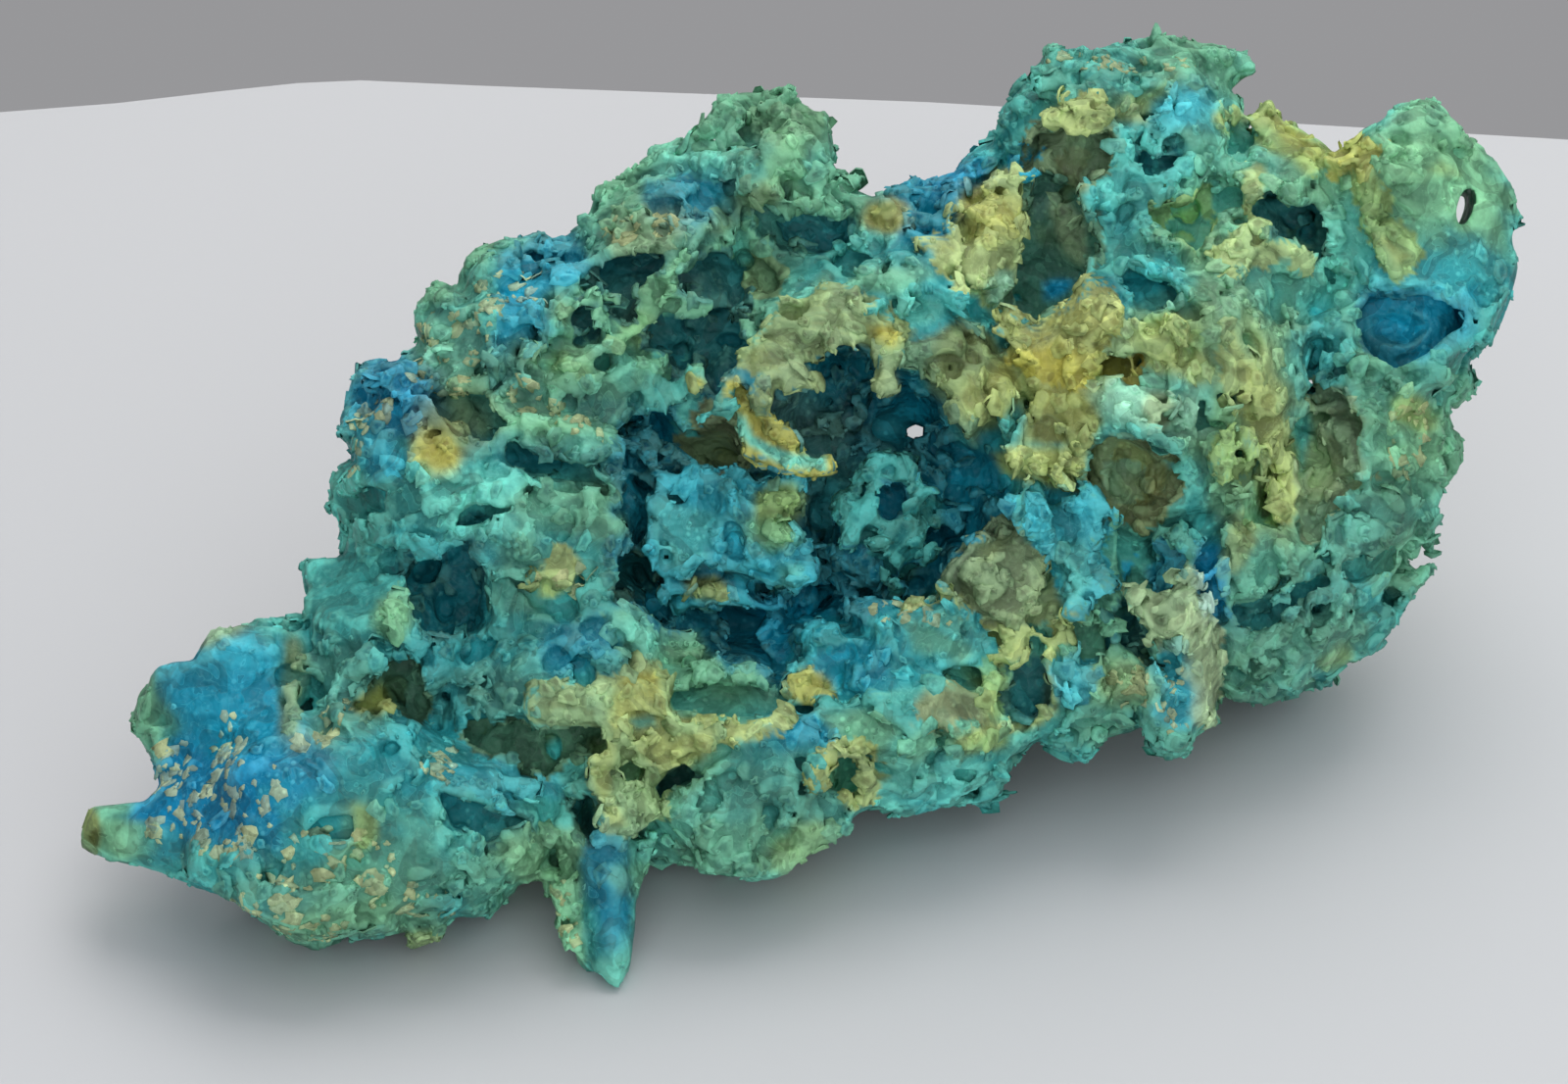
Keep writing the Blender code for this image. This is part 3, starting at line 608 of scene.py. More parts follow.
        (45.8, 2.1), (47.1, 2.8), (49.1, 2.5), (52.3, 2.5), (52.7, 0.9), (51, -0.2), (49.1, -0.6),
        (47.8, -1.1), (46.4, -1.6), (45.5, -0.5)]),
    "rightRagged": (1.6, 3, 0.5, [
        (50.2, 13.5), (52.5, 12.8), (54.5, 11), (54.2, 8.5), (54, 6), (52.5, 5.3), (50.3, 6), (49.8, 9.5)]),
    "columnCobbles": (2.4, 4, 0.7, [
        (29.3, -4.8), (30.8, -4.4), (32.1, -3.4), (33.4, -2.1), (34.3, -2.8), (34.4, -4.4), (36.1, -6.1),
        (35.8, -7.4), (36.1, -9.4), (35.9, -11.4), (36.0, -12.4), (35.4, -13.4), (35.6, -14.6),
        (34.6, -15.2), (33.8, -14.4), (34.1, -12.1), (33.4, -10.4), (33.8, -8.8), (31.4, -8.8), (30.8, -7.4),
        (30.1, -6.1)]),
    "besideColumn": (1.2, 3, 0.5, [
        (25.2, -10.2), (28, -8.9), (30.6, -10), (30.2, -12), (30.2, -14), (28.2, -14), (26.2, -12.8)]),
    "ledgeLeft": (1.3, 2.5, 0.4, [
        (-33.5, 2.8), (-31, 3.5), (-28, 3.5), (-26.2, 4.4), (-24.2, 4.6), (-22, 4.5), (-20.5, 3.2),
        (-20.4, 1.2), (-22.5, 0.6), (-26, 1.4), (-28.5, -0.3), (-31, -0.4), (-33.5, 0.6)]),
    "creamSpot": (0.9, 1.8, 0.5, [
        (-20.7, -2.8), (-20, -1.6), (-18.9, -0.5), (-17.8, -1), (-17.1, -1.9), (-18.1, -3.5), (-19.3, -4.5),
        (-20.3, -4.4)]),
    "browCobbles": (0.8, 2.2, 0.6, [
        (-30, 18), (-27.5, 19.3), (-25, 18.5), (-24.5, 15), (-24.8, 12.8), (-27.5, 12.6), (-29.5, 13.6),
        (-30.6, 15.6)]),
    "riseCobbles": (1.1, 2.0, 0.5, [
        (-14.6, 25), (-14.4, 26.9), (-12.2, 27.2), (-9.3, 27.4), (-9, 26), (-9.8, 25), (-11.2, 23.5),
        (-13.6, 23.3)]),
    "riseBridge": (0.4, 2.2, 0.4, [
        (-12.2, 21.4), (-9.8, 23), (-8.9, 23.6), (-9.1, 20.9), (-9, 19.9), (-10.8, 18.8), (-11.5, 17.5),
        (-13.2, 15.4), (-15.3, 16.4), (-12.5, 18.2), (-12, 19.5), (-12.4, 20.6)]),
    "peakLeaf": (1.1, 1.6, 0.35, [
        (-1.9, 31.2), (0.1, 33.6), (1.8, 33.2), (1.8, 31.5), (1.3, 30.1), (0.8, 28.2), (0.3, 29.5),
        (-1.6, 30.1)]),
    "peakCrest": (1.0, 1.6, 0.4, [
        (-9.8, 31.8), (-6.4, 32.2), (-3, 32), (-1.6, 30.8), (-3, 29.8), (-6.4, 30.8), (-9.6, 31)]),
    "bellyShelf": (1.6, 2.6, 0.4, [
        (-25.5, -18.2), (-22.2, -18.6), (-19.2, -19.4), (-19.3, -21.2), (-22, -21.9), (-25, -21.6),
        (-28.3, -20.2), (-28.8, -18.4)]),
    "bellySkirt": (1.2, 3.0, 0.5, [
        (-44, -28), (-40, -28.8), (-36, -27.5), (-31, -26.5), (-27, -26), (-25.5, -28), (-27, -30.5),
        (-31, -31), (-36, -32), (-40, -33), (-43.5, -31)]),
    "hangingNub": (0.6, 2.2, 0.3, [(-31.4, -31.5), (-29, -31.2), (-28.8, -33.2), (-30.8, -33.8)]),
    "earRim": (0.5, 2.0, 0.4, [
        (-51.8, -10.6), (-50.2, -11), (-51.5, -13.5), (-51.8, -16), (-50.5, -18.5), (-52, -19.2),
        (-54.2, -15.8), (-53.4, -12.4)]),
    "earStrip": (1.2, 2.0, 0.4, [
        (-42, -6.6), (-40.2, -6.2), (-39.7, -9), (-40, -12), (-39.6, -15), (-41.5, -15.2), (-41.8, -12),
        (-41.4, -9)]),
    "spurCobbles": (1.2, 2.5, 0.5, [
        (-19.4, -27.4), (-17.6, -27.8), (-16.6, -30), (-16.6, -33), (-15.8, -35.5), (-17.4, -35.8),
        (-18.6, -33.4), (-19.4, -30)]),
}

# depth, ragged, outline
holes = {
    "leftOfTheRise": (5, 0.3, [
        (-14.9, 23.3), (-10.2, 23.6), (-10.3, 22.8), (-11.5, 21.8), (-12.4, 20.9), (-11.9, 19.9),
        (-12.7, 18.9), (-13.4, 19.2), (-13.6, 20.2), (-14.9, 20.9)]),
    "inTheRise": (6, 0.3, [
        (-9.1, 22.3), (-7.2, 23.1), (-5.4, 23.3), (-4.3, 21.9), (-3.7, 20.2), (-4.7, 19.9), (-7.4, 19.9),
        (-9, 20.6)]),
    "underTheRise": (8, 0.3, [
        (-10, 19.2), (-7.8, 18.5), (-4.9, 19), (-4.3, 18.2), (-2.6, 16.1), (-3.7, 16), (-3.8, 14.6),
        (-5.4, 13.9), (-5.4, 12.7), (-6.4, 13.7), (-6.6, 15.6), (-8.1, 16.1), (-7.9, 14.9), (-8.6, 14.9),
        (-8.8, 16.3), (-10.7, 16.5), (-10.8, 17.8)]),
    "brow": (4, 0.2, [(-17.7, 18.2), (-17, 19.4), (-15.1, 19.9), (-15.8, 18.2), (-17, 17.7)]),
    "peakRight": (5, 0.25, [
        (0.6, 26.9), (1.8, 27.4), (3.5, 27.2), (4.7, 26.4), (4.9, 25.4), (3.5, 25), (2.2, 25.4), (1.6, 25.9),
        (0.4, 25.5)]),
    "peakLeft": (3, 0.25, [(-1.9, 27.1), (0.1, 27.2), (0.4, 25.7), (-0.2, 24.3), (-1.3, 25.7)]),
    "peakGreen": (4, 0.2, [(-3.1, 22.8), (-1.9, 23.3), (-0.9, 22.3), (-1.1, 21.4), (-2.3, 21.6)]),
    "peakFoot": (4, 0.2, [(4.5, 23.3), (5.7, 24.2), (7.3, 23.3), (6.6, 23), (5.2, 23.1)]),
    "peakNick": (3, 0.1, [(-4.5, 29.9), (-3.8, 30), (-3.7, 29.3), (-4.4, 29)]),
    "peakTop": (3, 0.15, [(-3.5, 33.9), (-2.6, 34.3), (-2.2, 33.5), (-3.1, 33.1)]),
    "leafHole": (3, 0.1, [(1.1, 32.8), (1.6, 32.9), (1.8, 31.9), (1.3, 31.6)]),
    "noduleTop": (3, 0.15, [(-16, 15), (-15, 15.3), (-14.9, 14.2), (-15.8, 14.1)]),
    "noduleLow": (3, 0.1, [(-17.9, 14.7), (-17.3, 14.7), (-17.4, 13.9), (-17.9, 14)]),
    "browNiche": (4, 0.4, [
        (-29.3, 12.0), (-26.9, 11.8), (-24.7, 12.2), (-24.3, 10.3), (-23.8, 9.6), (-24.2, 8.6), (-25.5, 8.9),
        (-26.9, 10), (-28.8, 10.3)]),
    "underNodule": (4, 0.4, [
        (-23.5, 8.5), (-20.5, 7.6), (-17.5, 6.5), (-15.3, 7), (-15.2, 5.2), (-18, 5.4), (-21, 6),
        (-23, 6.8)]),
    "leftNiche": (3, 0.4, [(-37, 4), (-34.5, 4.6), (-32.8, 4.3), (-33, 2.6), (-35.6, 1.6), (-37.4, 2.4)]),
    "underLedge": (3, 0.3, [(-28, 1.6), (-26.4, 2.3), (-24.2, 2.9), (-22.6, 2.8), (-24.4, 1.9), (-27, 0.9)]),
    "leftHollow": (6, 0.4, [
        (-31.1, -3.1), (-30, -1.2), (-28.2, -0.8), (-27, 0.3), (-25.6, 0.7), (-25.9, -1.2), (-26.7, -2.7),
        (-25.9, -4.6), (-26.3, -6.4), (-27.8, -7.9), (-30.4, -7.9), (-30, -6.4), (-31.1, -6.4)]),
    "oliveHole": (3.5, 0.3, [
        (-35.4, -13.5), (-34.5, -12.4), (-33.8, -11.3), (-31.9, -9.8), (-30.8, -10.2), (-30, -12),
        (-30, -13.5), (-30.8, -14.1), (-31.9, -13.1), (-33, -13), (-33.8, -14.3), (-35.1, -13.9)]),
    "slit": (4.5, 0.25, [
        (-26.1, -15.4), (-24.4, -15), (-22.6, -15.4), (-20.7, -15.4), (-15.1, -15.4), (-15.1, -17.3),
        (-15.9, -16.9), (-18.1, -16.5), (-19.6, -17.6), (-20.3, -18.5), (-22.2, -18), (-24.1, -17.6),
        (-26, -16.5)]),
    "slitEnd": (3, 0.1, [(-26.1, -14.4), (-25.1, -14.1), (-24.5, -14.7), (-25.8, -15)]),
    "bellyHole": (1.4, 0.2, [
        (-39.4, -24), (-38.2, -22.9), (-36, -22.7), (-36, -24.7), (-37.9, -24.7), (-39.2, -24.6)]),
    "earHole": (3, 0.15, [(-42.1, -11), (-41.5, -10.4), (-40.4, -11), (-40.9, -11.9), (-41.8, -11.7)]),
    "slot": (6.5, 0.4, [
        (20, 25.4), (20.4, 27.3), (20.9, 28.8), (21.7, 30.3), (22.1, 29.2), (23.9, 28.6), (24.7, 27.3),
        (25.4, 25.8), (25.4, 23.9), (24.7, 22.1), (22.8, 19.5), (21.7, 18.7), (20.9, 17.2), (20.4, 18.3),
        (19.4, 19.5), (19.6, 22.4), (19.8, 24.7)]),
    "underTheTab": (4, 0.3, [
        (20, 32), (21.3, 33.7), (24.3, 33.3), (26.9, 34.4), (27.5, 33.5), (26.5, 31.6), (25.2, 30.5),
        (24.9, 29.2), (22.8, 29.7), (22.1, 30.3), (20.9, 31.9)]),
    "crestEye": (3, 0.15, [(19.8, 31.9), (20.7, 32.2), (20.9, 31.1), (20, 31)]),
    "peakSlots": (4, 0.15, [(30.3, 31.6), (31, 32), (32.7, 31.6), (32.3, 31), (31.4, 30.5), (30.6, 30.9)]),
    "peakDot": (3, 0.1, [(30.4, 33.4), (31, 33.4), (31, 32.9), (30.5, 32.9)]),
    "peakSlit": (3.5, 0.1, [(31.2, 30.1), (31.9, 30), (32, 29.3), (31.4, 29.2)]),
    "greenHollow": (3.5, 0.4, [
        (30.7, 27.7), (31.8, 28.4), (32.5, 27.3), (34, 28.4), (34.8, 29), (35.5, 28), (35.1, 26.2),
        (34.4, 24.3), (33.3, 25), (31.8, 25.8), (30.7, 26.6)]),
    "greenPit": (4, 0.15, [(33.3, 26.1), (34.1, 26.1), (34.2, 25), (33.6, 24.7)]),
    "bandHole": (4, 0.15, [(37, 29), (37.9, 29.2), (38.2, 28.2), (37.6, 27.5), (37.1, 28)]),
    "bandDot": (3, 0.1, [(37.3, 26.8), (37.9, 26.9), (37.9, 26.2), (37.4, 26.2)]),
    "dip": (5, 0.3, [
        (40.4, 27.3), (41.1, 28.4), (42.6, 27.7), (43.7, 28.4), (44.8, 27.3), (44.8, 25), (43.7, 23.9),
        (43, 24.3), (42.2, 25), (40.5, 25)]),
    "dipDark": (5, 0.2, [(43, 24.9), (43.5, 25.8), (44.8, 26), (44.9, 25.2), (43.7, 23.9)]),
    "crestHole": (3, 0.15, [(37.3, 34.7), (38.2, 34.9), (38.6, 34.2), (37.7, 33.9)]),
    "tealBasin": (3.5, 0.4, [
        (28, 21.5), (29, 22.4), (31.5, 22.2), (33, 21), (33.3, 20), (31, 19.8), (29, 20.3)]),
    "goldPit": (4, 0.3, [(25.9, 14.8), (27.2, 15.8), (29, 15), (28.7, 13.9), (27.5, 13.2), (26, 13.4)]),
    "cave": (2.6, 0.6, [
        (25.2, 7.8), (27.3, 8.7), (30.3, 8.4), (31.8, 6.8), (32.5, 5.3), (31.8, 3.8), (30.3, 2.3),
        (28.8, 2.2), (27.3, 3), (25.4, 5)]),
    "caveDots": (4.5, 0.2, [(27.6, 5.5), (28.7, 5.4), (28.5, 4.6), (27.8, 4.7)]),
    "tealSlit": (4, 0.15, [(34.2, 12), (35.2, 11.9), (35, 10), (34.3, 9.8)]),
    "greenCup": (3, 0.2, [(35.8, 12.4), (36.8, 12.2), (37, 11), (36, 10.8)]),
    "ring": (3, 0.15, [(37.2, 7.9), (38.2, 8), (38.6, 7), (38, 6.4), (37.1, 6.8)]),
    "bluePocket": (3.6, 0.15, [
        (48.2, 18.7), (49, 19.8), (52, 20), (54.9, 19.8), (56.4, 19.1), (56.4, 17.6), (54.6, 17.2),
        (53.1, 15.7), (50.8, 14.6), (49.7, 15), (48.6, 16.5)]),
    "rightNiche": (3.4, 0.35, [
        (43.7, 9), (44.1, 10.9), (44.8, 12.4), (46.3, 12.7), (47.1, 11.2), (48.2, 9.7), (47.8, 7.5),
        (48.2, 6), (46.7, 4.5), (46, 2.7), (44.5, 2.3), (42.9, 2.7), (43, 6), (43.4, 7.5)]),
    "nicheFoot": (4, 0.3, [(42.8, 2.5), (44.8, 2.2), (44.8, 0.6), (43.6, 0.8)]),
    "underKeelLedge": (4, 0.4, [
        (36.6, -5.4), (38.5, -5.6), (40.5, -5.1), (42.5, -3.6), (44.5, -2.5), (45.5, -3.4), (43.5, -5),
        (40.5, -6.8), (37.5, -7)]),
    "underRightLedge": (3, 0.3, [(46.5, -2), (48, -1.6), (50.5, -0.8), (50.5, -2), (48, -3), (46.6, -3)]),
    "columnPit": (6, 0.2, [
        (27.5, -6.8), (28.1, -5.8), (29.6, -6.1), (30, -7.1), (28.8, -7.6), (28.6, -8.6), (27.8, -8.6)]),
    "columnNiche": (4, 0.3, [
        (29.8, -3.1), (30.1, -2.1), (31.4, -1.1), (33.1, -0.6), (33.4, -1.8), (32.4, -2.8), (31.4, -4.1),
        (30.4, -4.3)]),
    "stripHollow": (3, 0.4, [(23.9, -7), (25.3, -6.8), (27, -7), (27, -8.4), (25, -8.8), (23.9, -8.2)]),
    "rimPit": (3.5, 0.3, [
        (19.3, -9.7), (22.1, -9.7), (22.1, -12), (22.1, -13.6), (20.2, -14.4), (19.4, -13)]),
    "netHole": (3, 0.15, [(20.5, -7.9), (21.3, -7.8), (21.2, -8.8), (20.6, -8.7)]),
    "shelfNook": (3, 0.3, [
        (12, -10.8), (14, -10.3), (16.3, -10.5), (16.2, -11.8), (15.4, -12), (13.6, -11.3)]),
    "lipHole": (5, 0.15, [
        (-10.4, -20.6), (-9.9, -19.3), (-8.4, -18.6), (-7.6, -19.3), (-8.8, -20.4), (-9.9, -20.8)]),
    "lipDark": (5, 0.15, [(-17, -22.1), (-16.2, -21.4), (-15.7, -23.2), (-15.7, -24.2), (-16.4, -24)]),
    "lipDish": (1.5, 0.3, [(-14.2, -19.2), (-13, -18.4), (-11.8, -19), (-12, -20.4), (-13.6, -20.3)]),
    "ringCup": (3, 0.25, [(4.2, -18.6), (5.6, -18.2), (6.5, -19), (5.8, -20.4), (4.5, -19.9)]),
    "lipRecess": (2.5, 0.4, [
        (-9.8, -12.2), (-6, -12), (-2.5, -11.8), (0, -12.5), (0, -14.4), (-3, -14.6), (-7, -14.6),
        (-9.6, -14.2)]),
    "goldFoot": (3, 0.2, [(0.7, -13.6), (2.6, -13.6), (2.4, -14.4), (0.8, -14.6)]),
    "lowerDark": (3, 0.4, [
        (-28.3, -21), (-26, -22), (-23.5, -22.3), (-22, -23.5), (-24.5, -24.5), (-27, -23.4)]),
}

# these open inside the great hollow
innerHoles = {
    "leftPit": (3, 0.25, [
        (-13.7, -2.2), (-13.1, -1.4), (-10.9, -1.4), (-10.8, -2.5), (-10.1, -3.3), (-10.8, -3.9),
        (-11.5, -4.1), (-11.9, -5), (-12.2, -5.2), (-14.3, -5.3), (-14.6, -4.2), (-14, -3.5)]),
    "leftNook": (5, 0.3, [(-14.3, 3), (-12, 2.6), (-11.7, 0.5), (-13, 1.2), (-14.5, 2)]),
    "upperNook": (4, 0.3, [(-14.3, 5.5), (-11.5, 5.2), (-11, 4), (-12.5, 3.6), (-13.8, 4)]),
    "brownPit": (6, 0.25, [
        (-8.1, 7.1), (-6.9, 9.3), (-6.1, 10.4), (-4.7, 10.4), (-4.1, 9.3), (-3.5, 7.9), (-4.1, 6.5),
        (-5.2, 6.2), (-6.6, 6.5)]),
    "besideFlap": (5, 0.2, [
        (-11.2, 9.6), (-10.8, 10.9), (-10.3, 10.7), (-10, 9.9), (-9.1, 9), (-8.3, 8.1), (-8.1, 7.4),
        (-9.1, 8.5), (-10, 8.8), (-11.1, 8.8)]),
    "tongueEye": (5, 0.15, [(7.9, 4), (8.7, 4.4), (9.6, 4), (9.3, 3.4), (9.6, 2.8), (8.8, 2.1), (8.1, 2.8)]),
    "tongueGreen": (3, 0.2, [
        (-7.8, -2.8), (-7.2, -1.7), (-6.3, -1.4), (-5.3, -2.5), (-6.3, -3.1), (-7.2, -3.5)]),
    "floorBlue": (5, 0.3, [
        (-4.5, -5.5), (-1.8, -5.5), (-1.8, -9.8), (-2.6, -10), (-3.8, -10.4), (-5.4, -10.2)]),
    "rimBlue": (4, 0.2, [(-1.9, -11.5), (-1.3, -10.9), (0, -10.9), (0.3, -11.9), (-1, -12.2)]),
    "floorGreen": (4, 0.2, [
        (3.2, -5.6), (3.7, -4.9), (4.9, -5), (5.3, -6.3), (5.4, -7.5), (4.6, -7.8), (4.3, -6.7), (3.7, -6.9),
        (3.1, -7.5)]),
    "besideDome": (5, 0.25, [
        (12.4, 0.3), (13.5, 1.4), (14.6, 0.6), (15.4, -0.3), (13.7, -1.7), (12.6, -2.8), (12.1, -3.1),
        (10.6, -2.7), (11.8, -2.1), (12.1, -1)]),
    "roofBlue": (4, 0.3, [
        (9.9, 13), (11.5, 12.3), (13.4, 11.5), (13.4, 9.9), (12.1, 9.6), (9.6, 8.7), (7.1, 8.7), (7.3, 9.9),
        (9.6, 10.9)]),
    "middleBlue": (4, 0.3, [(1, 2.2), (3.7, 2.5), (5, 1.2), (4.8, 0), (3.7, -0.8), (2.2, 0), (1.5, 1)]),
}


# How softly each kind of form runs into the growth, in mm
blends = {
    "masses": 2.0, "limbs": 1.0, "greatHollow": 0.8, "inside": 0.8,
    "hollows": 0.4, "pits": 0.3, "windows": 0.2,
}
greatHollowEdge = {"deep": 6.0, "ragged": 0.3, "flare": 0.3, "blend": 0.6}
sinkShare = 0.15  # how far out a hollow's middle lies, against its depth


def shapeBody():
    # the solid's own forms, before any fine growth
    for form in masses.values():
        grow(ball(*form), blends["masses"])
    for form in limbs.values():
        grow(limb(*form), blends["limbs"])


def openGreatHollow():
    for form in greatHollow.values():
        carve(ball(*form), blends["greatHollow"])
    hole(None, hollowEdge, level=skin, **greatHollowEdge)
    for form in insideForms.values():
        grow(ball(*form), blends["inside"])


def openSunk(forms, front, blend, bend=1.0):
    # hollows that open in a smooth front
    for along, up, wide, tall, deep, *turn in forms.values():
        out = float(flatDepth(front, np.float32(along), np.float32(up))) + sinkShare * deep
        carve(ball(along, up, out, wide, tall, deep, *turn, bend=bend), blend)


# How the growth ends at the front outline, in mm
frontEdge = {
    "teeth": 0.5,
    "sheetDepth": 2.6,  # behind the front, where the body falls short of the outline
    "sheetHalf": 2.2,
    "sheetMost": 1.2,
    "back": 0.15,
    "rounding": 0.06,  # how strongly the calm places curve away behind, over roundDepths
    "roundDepths": (1.5, 7.5),
}


def insideSilhouette(flat, k):
    # mm inside the outline for one layer of cells, as it shows from the front
    size = 1 - ticks[2][k] / face["eye"]
    return flat[np.ix_(nearestCell(ticks[0] / size, 0), nearestCell(ticks[1] / size, 1))] * size


def followSilhouette(level):
    # the front outline, cut back where the body passes it and thinly filled where it falls short
    flat = insideOutline(silhouette, flatAlong, flatUp)
    bare = ~(mass > 0).any(2)
    short = blurred(bare.astype(np.float32), 1.0) > 0.02
    for k in range(cells[2]):
        edge = insideSilhouette(flat, k) + frontEdge["teeth"] * fray[:, :, k]
        behind = np.abs(ticks[2][k] - level + frontEdge["sheetDepth"])
        sheet = np.where(short, frontEdge["sheetHalf"] - behind, -9)
        layer = np.maximum(mass[:, :, k], np.minimum(np.minimum(edge, sheet), frontEdge["sheetMost"]))
        mass[:, :, k] = np.minimum(layer, edge)


def trimOutline():
    # nothing passes the front outline except its small teeth
    flat = insideOutline(silhouette, flatAlong, flatUp)
    start, end = frontEdge["roundDepths"]
    for k in range(cells[2]):
        behind = np.clip(skin - ticks[2][k] - start, 0, end - start)
        rounding = frontEdge["rounding"] * (1 - calm) * behind ** 2
        edge = insideSilhouette(flat, k) - frontEdge["back"] - rounding
        edge = edge + frontEdge["teeth"] * calm * fray[:, :, k]
        mass[:, :, k] = np.minimum(mass[:, :, k], edge)


# along, up, half width, half height of the places with little relief
calmPlaces = [
    (-54, -24, 7, 4.5), (-47, -20.5, 6, 5), (-46, -12, 6.5, 5.5), (-6.5, 1.5, 3, 3), (52.5, 17.5, 5, 4),
    (-14.3, -31, 3, 6), (55.5, 27, 6, 7), (-38, -20, 7, 5), (-36.5, -4, 4, 4),
]
calmEnd = {"steep": 1.6, "start": 0.9, "least": 0.15}  # least relief inside, full relief outside


def calmness():
    # how much relief each part of the face has
    relief = np.ones((cells[0], cells[1]), np.float32)
    for oval in calmPlaces:
        far = ovalDistance(flatAlong, flatUp, *oval)
        relief = np.minimum(relief, np.clip(far * calmEnd["steep"] - calmEnd["start"], calmEnd["least"], 1))
    return relief


# (size in mm, share) of the lumps, then height, softness, undercut and seed
terraces = {
    "body": ([(8, 1), (2.6, 0.5), (1.1, 0.35)], 0.6, 0.1, 0.12, 200),
    "plates": ([(4.0, 1), (1.5, 0.5), (0.8, 0.35)], 0.5, 0.08, 0.15, 300),
    "fine": ([(2.2, 1), (0.9, 0.6)], 0.2, 0.1, 0.1, 400),
}


def terrace(sizes, height, edge, undercut, seed):
    # ragged plates: the surface steps up or down where an uneven field changes sign
    field = clouds(sizes, seed) - undercut * np.clip(mass, -4, 4)
    np.add(mass, height * calm[:, :, None] * np.clip(field / edge, -1, 1), out=mass)


bubbles = {
    "count": 2600,
    "least": 0.4,
    "spread": 1.2,
    "skew": 2.4,  # the higher, the more small ones
    "relief": 0.6,  # none where the surface has less relief than this
    "shift": 0.35,
    "stretch": 0.18,
    "bend": 0.6,
    "seed": 5,
}


def openBubbles():
    # small round holes that the growth left all over its surface
    rng = np.random.default_rng(bubbles["seed"])
    near = np.argwhere(np.abs(mass) < 0.8 * grain)  # the cells at the surface
    spots = near[rng.integers(0, len(near), bubbles["count"])]
    radii = bubbles["least"] + bubbles["spread"] * rng.random(bubbles["count"]) ** bubbles["skew"]
    for spot, radius in zip(spots, radii):
        if calm[spot[0], spot[1]] < bubbles["relief"]:
            continue
        shift = rng.normal(0, bubbles["shift"] * radius, 3)
        centre = np.array([ticks[k][spot[k]] for k in range(3)]) + shift
        reach = radius * np.exp(rng.normal(0, bubbles["stretch"], 3))
        block = blockAround(centre, reach, 0.5)
        if block is None:
            continue
        x, y, z = bentCoords(block, bubbles["bend"])
        away = np.sqrt(((x - centre[0]) / reach[0]) ** 2 + ((y - centre[1]) / reach[1]) ** 2
                       + ((z - centre[2]) / reach[2]) ** 2)
        mass[block] = np.minimum(mass[block], (away - 1) * radius)


def sampled(field, places):
    # a grid field read at any place, between its cells
    where = np.clip((places - low) / grain, 0, cells - 1.001)
    base = where.astype(int)
    part = (where - base).astype(np.float32)
    total = 0
    for i in (0, 1):
        for j in (0, 1):
            for k in (0, 1):
                weight = (np.abs(1 - i - part[:, 0]) * np.abs(1 - j - part[:, 1])
                          * np.abs(1 - k - part[:, 2]))
                total = total + weight * field[base[:, 0] + i, base[:, 1] + j, base[:, 2] + k]
    return total


def sampledFlat(flat, along, up):
    # the same for a map of the face, with one value or one colour to a cell
    x = np.clip((along - low[0]) / grain, 0, cells[0] - 1.001)
    y = np.clip((up - low[1]) / grain, 0, cells[1] - 1.001)
    i, j = x.astype(int), y.astype(int)
    fx, fy = (x - i)[:, None], (y - j)[:, None]
    if flat.ndim == 2:
        fx, fy = fx[:, 0], fy[:, 0]
    return (flat[i, j] * (1 - fx) * (1 - fy) + flat[i + 1, j] * fx * (1 - fy)
            + flat[i, j + 1] * (1 - fx) * fy + flat[i + 1, j + 1] * fx * fy)


def behindFront(places, front):
    # mm behind a smooth front
    return sampledFlat(front, places[:, 0], places[:, 1]) - places[:, 2]


def keepLargest(points, quads):
    # drops what floats loose or lies sealed inside, by spreading the lowest label over shared faces
    label = np.arange(len(points))
    for _ in range(400):  # far more rounds than it takes
        lowest = label[quads].min(1)
        spread = label.copy()
        for k in range(quads.shape[1]):
            np.minimum.at(spread, quads[:, k], lowest)
        spread = spread[spread]
        if (spread == label).all():
            break
        label = spread
    names, sizes = np.unique(label, return_counts=True)
    kept = label == names[sizes.argmax()]
    number = np.cumsum(kept) - 1
    return points[kept], number[quads[kept[quads[:, 0]]]]


# How the surface of the growth is made up
shell = {
    "pieces": 4,
    "fineTo": 18,  # mm behind the front where the fine grain ends
    "coarseFrom": 17.2,  # where the double grain starts, so that the two overlap
}


def surfaceOf(field, step):
    grid = openvdb.FloatGrid()
    grid.copyFromArray(-field)
    found, _, quads = grid.convertToPolygons(0.0, 0.0)
    found, quads = keepLargest(found, quads)
    return (found * step + low).astype(np.float32), quads


def meshFromMass():
    # fine where the open face shows it, coarser round the back, with a narrow overlap
    fine, fineQuads = surfaceOf(mass, grain)
    coarse, coarseQuads = surfaceOf(mass[::2, ::2, ::2].copy(), 2 * grain)
    fineQuads = fineQuads[behindFront(fine, skin)[fineQuads[:, 0]] < shell["fineTo"]]
    coarseQuads = coarseQuads[behindFront(coarse, skin)[coarseQuads[:, 0]] > shell["coarseFrom"]]
    return np.vstack([fine, coarse]), np.vstack([fineQuads, coarseQuads + len(fine)])


# (size in mm, share) of the lumps that bend every form and that fray every edge
lumps = {"wander": [(7, 1.5), (2.8, 0.75), (1.2, 0.3)], "fray": [(2.2, 0.6), (1.2, 0.75), (0.8, 0.35)]}
sugar = {"size": 0.8, "least": 0.04, "more": 0.05}  # the finest grain of the surface, in mm
fronts = {"smooth": 2.0, "close": 0.8}  # mm over which each smoothed front is averaged

